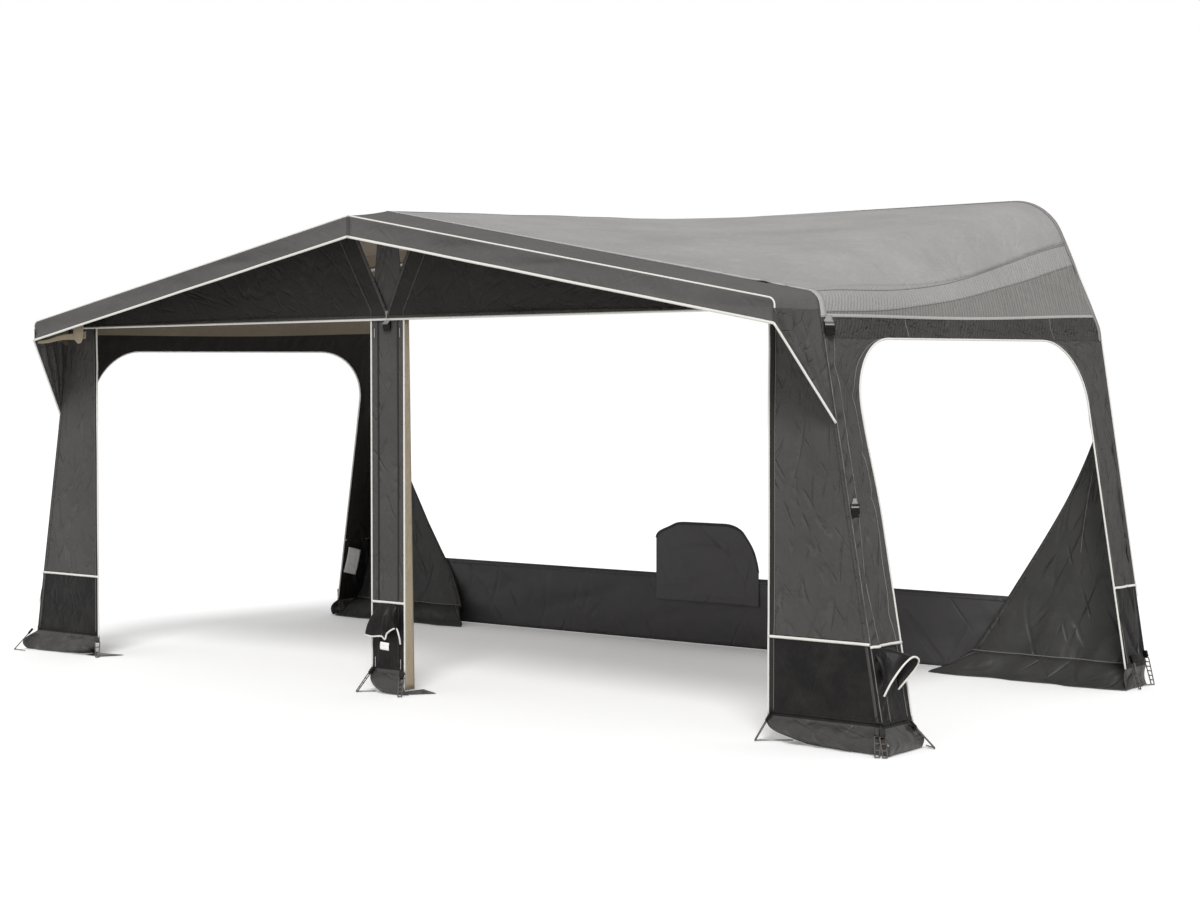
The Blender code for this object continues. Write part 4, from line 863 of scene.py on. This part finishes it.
def skirt_place(u, v):
    x = mix(-2.30, 2.30, u)
    z = max(v * 0.39, 0.001)
    spot = Vector((x, 0.0, z))
    wave = 0.009 * wave_noise(spot, 0.34, 41.0, (0.6, 1.0, 2.0))
    wave += 0.013 * crease(spot, 0.42, 42.0, (0.5, 1.0, 2.0))
    return Vector((x, DEPTH - 0.0237 + wave * bump_of(v), z))


# Across and up, from one foot of the cover over the top to the other
WHEEL_COVER_EDGE = (
    (-0.305, 0.600), (-0.286, 0.630), (-0.214, 0.661), (-0.142, 0.687), (-0.020, 0.690), (0.100, 0.690),
    (0.215, 0.687), (0.290, 0.659), (0.335, 0.611), (0.372, 0.557), (0.395, 0.495), (0.410, 0.430))


def wheel_cover_place(u, v):
    x, top, _ = curve_at([(*spot, 0.0) for spot in WHEEL_COVER_EDGE], u)
    spot = Vector((x, 0.0, mix(0.235, top, v)))
    wave = 0.009 * (1.0 + wave_noise(spot, 0.16, 44.0, (0.6, 1.0, 1.5)))
    wave += 0.009 * crease(spot, 0.22, 45.0, (0.5, 1.0, 1.6))
    wave *= bump_of(u) * bump_of(v)
    return Vector((x, DEPTH - 0.030 - wave, spot.z))


# Where the two seams cross the shoulder, from the front corner back to the rail
FIRST_SEAM = (0.12, 0.15, 0.05, 0.006, 0.006, 0.006)
SECOND_SEAM = (0.527, 0.50, 0.37, 0.248, 0.215, 0.17)


# Roof, visor and gables

def shoulder_finish(u, v):
    if u > EAVE_ROW:
        return 2
    return 1 if u > value_at(SECOND_SEAM, v) else 0


roof_trims = []
for label, sign in SIDES.items():
    half = 0.5 * sign
    roof_trims += tapes(f"{label}_roof", roof_place, UP, (
        ("front_hem", lambda u: (0.5 + half * u, FRONT_HEM_ROW), 0.042, HEM, 160),
        ("rear_tape", lambda u: (0.5 + half * u, REAR_TAPE_ROW), 0.030, SEAM, 160)), "canopy_cloth", 0.0010)
roof_trims.append(tape("ridge_seam", roof_place, lambda u: (0.5, mix(0.01, 0.995, u)), 0.012, UP, SEAM, 60,
                       "canopy_cloth", 0.0002, 0.0010))
# The roof's lining takes the darker beige copy, which is painted shade.
sewn("roof", roof_place, 180, 70, [LIGHT], UP, ["left_roof_panel", "right_roof_panel"],
     lining=[SHADED_BEIGE], trims=roof_trims)

for label, sign in SIDES.items():
    out = OUT[sign]
    place = roof_side_place(sign)
    trims = tapes(label, place, out + UP, (
        ("first_shoulder_seam", lambda u: (value_at(FIRST_SEAM, u), u), 0.004, SEAM, 160),
        ("second_shoulder_seam", lambda u: (value_at(SECOND_SEAM, u), u), 0.004, SEAM, 160)),
        "canopy_cloth", 0.0010, 0.0010)
    trims.append(tape(f"{label}_eave_seam", place, lambda u: (0.592, u), 0.014, out, HEM, 160,
                      "canopy_cloth"))
    trims += tapes(label, place, out, (
        ("corner_hem", lambda u: (EAVE_ROW * u, FRONT_HEM_ROW), 0.042, HEM, 24),
        ("shoulder_rear_tape", row(REAR_TAPE_ROW), 0.030, SEAM, 24)), "canopy_cloth", 0.0010)
    trims += tapes(f"{label}_band_seam", place, out, (
        ("front", lambda u: (mix(0.62, 0.98, u), 0.265), 0.005, STITCH, 8),
        ("rear", lambda u: (mix(0.62, 0.98, u), 0.80), 0.005, STITCH, 8)), "wall_cloth", 0.0002, 0.0008)
    sewn(f"{label}_shoulder", place, 60, 160, [PLEATED, LOW_PLEATED, GATHERED], out,
         [f"{label}_roof_side"], shoulder_finish,
         [SHADED_BEIGE, SHADED_BEIGE, INSIDE], trims)
    place = visor_place(sign)
    trims = [tape(f"{label}_visor_peak_seam", place, lambda u: (0.002, mix(0.5, 1.0, u)), 0.006, FORWARD,
                  DARK, 12, "visor_cloth", 0.0002, 0.0010),
             bead_on(f"{label}_visor_top_piping", place, row(0.5), 0.0036, FORWARD + UP, 90),
             bead_on(f"{label}_visor_lower_piping", place, row(1.0), BAND_BEAD, FORWARD, 90)]
    sewn(f"{label}_visor_sheet", place, 110, 40, [FASCIA], FORWARD + UP, [f"{label}_visor"],
         lining=[SHADED_BEIGE], trims=trims)
    place = gusset_place(sign)
    sewn(f"{label}_visor_gusset", place, 60, 70, [DARK, DARK], out, [f"{label}_visor_end"],
         lambda u, v: 1 if v < 0.18 else 0,
         [DARK, SHADED_BEIGE], [bead_on(f"{label}_gusset_piping", place, row(1.0), 0.0052, out, 30)])
    place = gable_place(sign)
    trims = [bead_on(f"{label}_gable_piping", place, lambda u: (0.985 * u, 0.0), 0.0055, FORWARD, 60)]
    trims += tapes(label, place, FORWARD, (
        ("gable_hem", row(0.07), 0.020, DARK, 80),
        ("neck_hem", lambda u: (0.003, mix(0.03, 0.97, u)), 0.018, DARK, 40),
        ("gable_seam", lambda u: (mix(0.045, 0.040, u), mix(0.08, 0.97, u)), 0.008, DARK, 24)))
    sewn(f"{label}_gable", place, 110, 30, [GABLE], FORWARD, [f"{label}_gable_panel"],
         trims=trims)


# Front columns

WALL = [DARK, BAND, MUD]
WALL_LINING = [INSIDE, BAND, MUD]


def wall_finish(z, band_top):
    """Mud flap, band or cloth, by the height on a wall."""
    return 2 if z < FLAP_TOP else (1 if z < band_top else 0)


def column_finish(top):
    return lambda u, v: wall_finish(panel_height(v, top), WINDOW_TOP)


def along_door(offset):
    """A line on a corner column, a set way in from the doorway."""
    def path(share):
        v = mix(0.99, ABOVE_FLAP, share)
        return offset / (corner_x(panel_height(v, GABLE_BOTTOM)) - DOOR_HALF), v
    return path


def edge_piping(name, place, u, top):
    """Piping down an upright edge of a column, to its mud flap."""
    points = [place(u, mix(top, FLAP_ROWS, step / 60)) + FORWARD * 0.002 for step in range(61)]
    return piping(f"{name}_piping", points, 0.0043)


for label, sign in SIDES.items():
    name = f"{label}_column"
    place = corner_column_place(sign)
    trims = [edge_piping(name, place, 0.0, 1.0),
             bead_on(f"{name}_band_piping", place, row(row_of(WINDOW_TOP, GABLE_BOTTOM)), BAND_BEAD,
                     FORWARD, 30)]
    trims += tapes(name, place, FORWARD, (
        ("zip", along_door(0.014), 0.018, TAPE, 60),
        ("zip_stitch", along_door(0.026), 0.0025, STITCH, 60),
        ("flap_seam", row(ABOVE_FLAP), 0.012, BAND, 24),
        ("corner_hem", lambda u: (0.965, mix(0.99, ABOVE_FLAP, u)), 0.014, DARK, 60)))
    sewn(name, place, 40, 110, WALL, FORWARD, [f"front_{name}"],
         column_finish(GABLE_BOTTOM), WALL_LINING, trims)

place = centre_column_place
top_row = row_of(GABLE_BOTTOM, CENTRE_TOP)
trims = [edge_piping("centre_column_left", place, 0.0, top_row),
         edge_piping("centre_column_right", place, 1.0, top_row),
         bead_on("centre_column_band_piping", place, row(row_of(WINDOW_TOP, CENTRE_TOP)), BAND_BEAD,
                 FORWARD, 20)]
trims += tapes("centre_column", place, FORWARD, (
    ("left_seam", lambda u: (0.20, mix(top_row, ABOVE_FLAP, u)), 0.010, TAPE, 60),
    ("right_seam", lambda u: (0.80, mix(top_row, ABOVE_FLAP, u)), 0.010, TAPE, 60)))
sewn("centre_column", place, 24, 120, WALL, FORWARD, ["front_centre_column"],
     column_finish(CENTRE_TOP), WALL_LINING, trims)


def post_return_place(u, v):
    """The lined edge of the centre panel that turns back round its upright."""
    z = mix(0.020, GABLE_BOTTOM - 0.004, v)
    return Vector((POST_HALF - 0.004 * u, BODY_Y + 0.003 + mix(0.066, 0.034, v) * u, z))


# The return's lighter beige is painted light.
sewn("centre_column_return", post_return_place, 6, 60, [LIT_BEIGE], OUT[1.0], ())


# Side walls, draught flaps, skirt and wheel cover

def side_band(front):
    return SIDE_BAND_FRONT if front else SIDE_BAND_REAR


def edge_path(front, offset):
    """A line beside the edge of the side opening, a set way in from it."""
    def path(share):
        v = mix(SIDE_LOW_ROW, SIDE_TOP_ROW, share)
        width = abs(opening_edge(v, front)[0] - (FRONT_Y if front else REAR_Y))
        return 1.0 - offset / width, v
    return path


for label, sign in SIDES.items():
    out = OUT[sign]
    for end, front in (("front", True), ("rear", False)):
        place = side_strip_place(sign, front)
        band_row = ARC_ROW * row_of(side_band(front), OPEN_ARC_START)
        trims = [bead_on(f"{label}_{end}_band_piping", place, row(band_row), BAND_BEAD, out, 16)]
        trims += tapes(f"{label}_{end}", place, out, (
            ("flap_seam", row(0.148), 0.012, BAND, 16),
            ("opening_hem", edge_path(front, 0.034), 0.004, STITCH, 120)))
        if front:
            trims += tapes(f"{label}_sleeve", place, out, (
                ("front_seam", sleeve_path(0.004), 0.005, STITCH, 90),
                ("rear_seam", sleeve_path(SLEEVE_WIDTH), 0.005, STITCH, 90)))
        sewn(f"{label}_side_{end}", place, 40, 160, WALL, out, [f"{label}_side_{end}_panel"],
             lambda u, v: wall_finish(opening_edge(v, front)[1], side_band(front)), WALL_LINING, trims)
    edge = [side_strip_place(sign, True)(1.0, mix(0.14, 1.0, step / 60)) for step in range(61)]
    for step in range(1, 30):
        y = mix(OPEN_FRONT + OPEN_FRONT_ARC, OPEN_REAR - OPEN_REAR_ARC, step / 30)
        edge.append(Vector((sign * side_x(y, band_height(y)), y, band_height(y))))
    edge += [side_strip_place(sign, False)(1.0, mix(1.0, 0.14, step / 60)) for step in range(61)]
    piping(f"{label}_opening_piping", edge, 0.0046)
    place = draught_place(sign)
    trims = tapes(f"{label}_draught", place, FORWARD, (
        ("seam", row(0.205), 0.005, STITCH, 60),
        ("hem", lambda u: (0.03, mix(0.99, 0.21, u)), 0.014, DARK, 44),
        ("upright_seam", lambda u: (mix(0.499, 0.34, u), mix(0.546, 0.805, u)), 0.004, STITCH, 44)))
    sewn(f"{label}_draught", place, 60, 80, [FLAP], FORWARD, [f"{label}_draught_flap"],
         trims=trims)
sewn("skirt", skirt_place, 160, 16, [SKIRT], FORWARD, ["caravan_skirt"],
     trims=[tape("skirt_hem", skirt_place, row(0.95), 0.018, FORWARD, SKIRT, 120, "skirt_cloth")])
sewn("wheel_cover", wheel_cover_place, 66, 40, [WHEEL], FORWARD, ["wheel_arch_cover"],
     trims=[tape("wheel_cover_hem", wheel_cover_place, row(0.975), 0.012, FORWARD, DARK, 60)])


# Straps, buckles, pegging ladders, loose flaps and labels

SLEEVE_TURN = 0.6
LADDER_WIDTH = 0.026
RUNG_SPACING = 0.024
RUNG = 0.0028


def on_side(sign, *points):
    """Points of the right side, or their mirror images on the left."""
    return [Vector((sign * x, y, z)) for x, y, z in points]


def ways_at(point_of, u, v, outward):
    """A spot on a sleeve with its own ways: across, up and out, turned towards the front."""
    point, out = spot_on(point_of, u, v, outward)
    out = (out + FORWARD * SLEEVE_TURN).normalized()
    up = (UP - out * UP.dot(out)).normalized()
    return point, up.cross(out), up, out


def buckle(name, point, across, up, out, half_width):
    """A side-release buckle: its body, its lower half, two crossbars and two side prongs."""
    boxes = [(0.0, -0.013, half_width, 0.013, 0.0055),
             (0.0, -0.036, half_width * 0.80, 0.010, 0.0045),
             (0.0, 0.002, half_width * 1.05, 0.003, 0.0030),
             (0.0, -0.048, half_width * 0.95, 0.003, 0.0035),
             (-0.93, -0.027, 0.0022, 0.012, 0.0040),
             (0.93, -0.027, 0.0022, 0.012, 0.0040)]
    blocks(name, [(point + out * 0.014 + across * side * half_width + up * rise, (across, up, out), halves)
                  for side, rise, *halves in boxes], PLASTIC, 0.0012)


def strap_run(name, top, bottom, across, out, width, material, lifts):
    """A webbing strap from one spot down to another, raised from the cloth by the lifts along it."""
    def place(u, v):
        return top.lerp(bottom, v) + across * width * (u - 0.5) + out * value_at(lifts, v)
    sewn(name, place, 4, 24, [material], out, thickness=THIN_CLOTH)


def buckled_strap(name, spot, width, length):
    """A strap sewn on above, over its buckle, with a stub of webbing below."""
    point, across, up, out = spot
    buckle(f"{name}_buckle", point, across, up, out, width * 0.58)
    strap_run(f"{name}_strap", point + up * length, point - up * 0.012, across, out, width, STRAP,
              (0.002, 0.006, 0.017, 0.021))
    strap_run(f"{name}_stub", point - up * 0.044, point - up * 0.070, across, out, width * 0.8, TAPE,
              (0.014, 0.008, 0.002))


def peg_ladder(name, clip, ground, back=None):
    """A rubber pegging ladder from a clip at the flap's seam to the ground, and its wire there."""
    clip, ground = Vector(clip), Vector(ground)
    down = (ground - clip).normalized()
    out = down.cross(UP.cross(down)).normalized() if abs(down.z) < 0.98 else FORWARD
    side = down.cross(out).normalized()
    blocks(f"{name}_clip", [(clip, (side, down, out), (0.012, 0.016, 0.006)),
                            (clip + down * 0.017, (side, down, out), (0.008, 0.006, 0.004))],
           PLASTIC)
    start, end = clip + down * 0.020, ground + UP * 0.003
    top_half, low_half = side * LADDER_WIDTH / 2.0, side * LADDER_WIDTH / 3.0
    lines = [[start + top_half, end + low_half], [start - top_half, end - low_half]]
    count = max(int((end - start).length / RUNG_SPACING), 2)
    for step in range(count + 1):
        middle = start.lerp(end, step / count)
        half = side * mix(LADDER_WIDTH / 2.0, LADDER_WIDTH / 3.0, step / count)
        lines.append([middle - half, middle + half])
    wires(f"{name}_rungs", lines, RUNG, RUBBER)
    if back is not None:
        wires(f"{name}_wire", [[end, Vector(back) + UP * 0.003]], RUNG, WIRE)


# Each ladder by its clip, the spot where it meets the ground and the end of its wire
DOOR_LADDER = {"door": ((2.192, -0.036, 0.096), (2.150, -0.070, 0.0), (2.270, 0.030, 0.0))}
CORNER_LADDERS = {
    "right": {"corner": ((2.752, -0.062, 0.094), (2.788, -0.098, 0.0)),
              "front": ((2.730, -0.060, 0.094), (2.758, -0.108, 0.0))},
    "left": {"corner": ((2.742, -0.066, 0.102), (2.800, -0.132, 0.0), (2.700, -0.135, 0.0))}}
SIDE_LADDERS = {"side": ((2.750, 0.180, 0.096), (2.822, 0.225, 0.0), (2.762, 0.262, 0.0)),
                "rear": ((2.716, 2.280, 0.150), (2.740, 2.320, 0.0)),
                "rail": ((2.712, 2.440, 0.160), (2.720, 2.510, 0.0), (2.680, 2.400, 0.0))}

for label, sign in SIDES.items():
    for name, points in {**DOOR_LADDER, **CORNER_LADDERS[label], **SIDE_LADDERS}.items():
        peg_ladder(f"{label}_{name}_ladder", *on_side(sign, *points))
    buckled_strap(f"{label}_upper_sleeve", ways_at(roof_side_place(sign), 0.735, 0.0165, OUT[sign]),
                  0.042, 0.034)
    buckled_strap(f"{label}_lower_sleeve",
                  ways_at(side_strip_place(sign, True), *sleeve_path(SLEEVE_WIDTH * 0.52)(0.480), OUT[sign]),
                  0.038, 0.026)

peg_ladder("centre_left_ladder", (-0.103, -0.038, 0.100), (-0.135, -0.105, 0.0), (-0.075, -0.040, 0.0))
peg_ladder("centre_right_ladder", (0.100, -0.038, 0.098), (0.150, -0.105, 0.0))
strap_run("centre_strap", Vector((0.0, FRONT_Y, GABLE_BOTTOM + 0.002)),
          Vector((0.0, FRONT_Y, GABLE_BOTTOM - 0.022)), OUT[1.0], FORWARD, 0.036, STRAP,
          (0.002, 0.005, 0.018))

for end, low, high in (("upper", 1.690, 1.735), ("lower", 0.115, 0.165)):
    for side, x in (("left", -0.086), ("right", 0.082)):
        sewn(f"zip_end_{end}_{side}",
             lambda u, v: Vector((x + 0.004 * (u - 0.5), BODY_Y - 0.0035, mix(low, high, v))),
             2, 6, [HEM], FORWARD, thickness=0.0010)


def loose_flap(name, top, edge, bulge, outward):
    """A plastic flap sewn on along its top and turned back below, with a beaded lower edge."""
    def place(u, v):
        point = curve_at(top, u).lerp(curve_at(edge, u), v)
        swell = bulge * bump_of(v) * (0.6 + 0.4 * bump_of(u))
        gather = 0.012 * bump_of(v) * math.sin(5.0 * math.pi * u + 2.0 * v)
        return point + outward * (swell + gather)
    bead = piping(f"{name}_piping", [place(step / 60, 1.0) for step in range(61)], 0.0042)
    sewn(name, place, 60, 30, [BAND], outward, (), thickness=THIN_CLOTH,
         trims=[bead])


for label, sign in SIDES.items():
    loose_flap(f"{label}_loose_flap",
               on_side(sign, (2.677, -0.010, 0.414), (2.679, 0.060, 0.412), (2.681, 0.150, 0.409)),
               on_side(sign, (2.728, -0.010, 0.228), (2.752, 0.010, 0.288), (2.768, 0.075, 0.350),
                       (2.783, 0.122, 0.377), (2.786, 0.160, 0.360), (2.764, 0.160, 0.318),
                       (2.730, 0.095, 0.245)),
               0.012, OUT[sign])
loose_flap("centre_loose_flap",
           [(-0.052, BODY_Y - 0.005, 0.425), (0.0, BODY_Y - 0.006, 0.429), (0.058, BODY_Y - 0.005, 0.425)],
           [(-0.118, -0.066, 0.272), (-0.066, -0.070, 0.268), (0.0, -0.074, 0.274), (0.028, -0.078, 0.262),
            (0.040, -0.074, 0.292), (0.088, -0.066, 0.316), (0.104, -0.060, 0.276), (0.098, -0.046, 0.240)],
           0.016, FORWARD)


def tag(name, corner, across, down, curl, material, rounded=0.0):
    """A small blank label, curled a little, with its lower end rounded."""
    corner, across, down, curl = Vector(corner), Vector(across), Vector(down), Vector(curl)

    def place(u, v):
        wide = 1.0 - rounded * v ** 5
        return corner + across * (0.5 + (u - 0.5) * wide) + down * v + curl * bump_of(0.15 + 0.6 * v)
    sewn(name, place, 8, 12, [material], curl, (), thickness=0.0008)


tag("blank_size_tag", (0.006, -0.084, 0.250), (0.052, 0.006, -0.004), (0.002, -0.002, -0.036),
    (0.0, -0.006, 0.0), LABEL)
tag("blank_care_label", (-side_x(2.28, 0.44) + 0.016, 2.275, 0.440), (0.010, 0.095, -0.024),
    (-0.020, -0.030, -0.160), (0.010, 0.0, 0.0), LABEL)
# The visor tab's lighter beige is painted light.
tag("left_visor_tab", (-2.208, -0.165, 1.786), (0.072, 0.012, 0.006), (0.004, 0.004, -0.100),
    (0.0, -0.008, 0.0), LIT_BEIGE, 0.75)


def visor_lining_place(u, v):
    """The slack edge of the lining under the left end of the visor."""
    top = curve_at([(-2.380, -0.270, 1.704), (-2.265, -0.200, 1.731), (-2.150, -0.130, 1.757)], u)
    return top - UP * (v * mix(0.014, 0.040, u) + 0.004 * math.sin(9.0 * u))


# The lining's lighter beige is painted light.
sewn("left_visor_lining", visor_lining_place, 30, 8, [LIT_BEIGE], FORWARD, (),
     thickness=THIN_CLOTH)


def ground_tail(name, corners):
    """The free end of a mud flap, laid flat on the ground."""
    first, second, third, fourth = (Vector((x, y, 0.003)) for x, y in corners)

    def place(u, v):
        point = first.lerp(second, u).lerp(fourth.lerp(third, u), v)
        point.z += 0.004 * bump_of(u) * bump_of(v) * (1.0 + wave_noise(point, 0.08, 51.0))
        return point
    sewn(name, place, 16, 12, [MUD], UP, (), thickness=THIN_CLOTH)


ground_tail("left_column_tail", ((-2.290, -0.035), (-2.175, -0.030), (-2.120, 0.085), (-2.300, 0.060)))
ground_tail("centre_column_tail", ((0.050, -0.015), (0.120, -0.020), (0.200, 0.090), (0.060, 0.150)))


# Finishes of the frame

def finish_nodes(words, material):
    """Gives a material to each node of the frame with one of these words in its name."""
    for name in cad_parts:
        if any(word in name for word in words):
            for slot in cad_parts[name].material_slots:
                slot.material = material


finish_nodes(("upright_upper", "upright_lower", "pole_inner", "pole_outer", "rafter", "bracket", "arm",
              "visor_pole"), STEEL)
finish_nodes(("lever", "foot", "buckle"), PLASTIC)
finish_nodes(("keder_beading",), PIPING)
finish_nodes(("neck_zip_slider",), WIRE)


# Floor and light

FLOOR_TONE = (0.86, 0.86, 0.855)


def camera_ray(tree):
    return tree.nodes.new("ShaderNodeLightPath").outputs["Is Camera Ray"]


floor_material, floor_tree, floor_shader = finish("pale studio floor", FLOOR_TONE, 0.9)
seen = camera_ray(floor_tree)
tint = add_node(floor_tree, "ShaderNodeMix", {"Factor": seen}, data_type="RGBA", A=(*FLOOR_TONE, 1.0),
                B=(*WHITE, 1.0))
glow = map_range(floor_tree, seen, 0.0, 1.0, 0.0, 0.16)
floor_tree.links.new(tint.outputs["Result"], floor_shader.inputs["Base Color"])
floor_tree.links.new(glow, floor_shader.inputs["Emission Strength"])
floor_shader.inputs["Emission Color"].default_value = (*WHITE, 1.0)
bm = bmesh.new()
bmesh.ops.create_grid(bm, x_segments=1, y_segments=1, size=60.0)
floor = placed("floor", mesh_from("floor", bm, [floor_material]))
floor.location = (0.0, 0.0, -0.002)

world = bpy.data.worlds.new("studio")
bpy.context.scene.world = world
world.use_nodes = True
sky = world.node_tree.nodes["Background"]
sky.inputs["Color"].default_value = (*WHITE, 1.0)
strength = map_range(world.node_tree, camera_ray(world.node_tree), 0.0, 1.0, 0.60, 1.0)
world.node_tree.links.new(strength, sky.inputs["Strength"])
sun_data = bpy.data.lights.new("sun", "SUN")
sun_data.energy = 1.8
sun_data.angle = math.radians(18.0)
sun = placed("sun", sun_data)
sun.rotation_euler = (math.radians(42.0), math.radians(8.0), math.radians(28.0))
bpy.context.scene.view_settings.view_transform = "Standard"

bpy.context.view_layer.update()
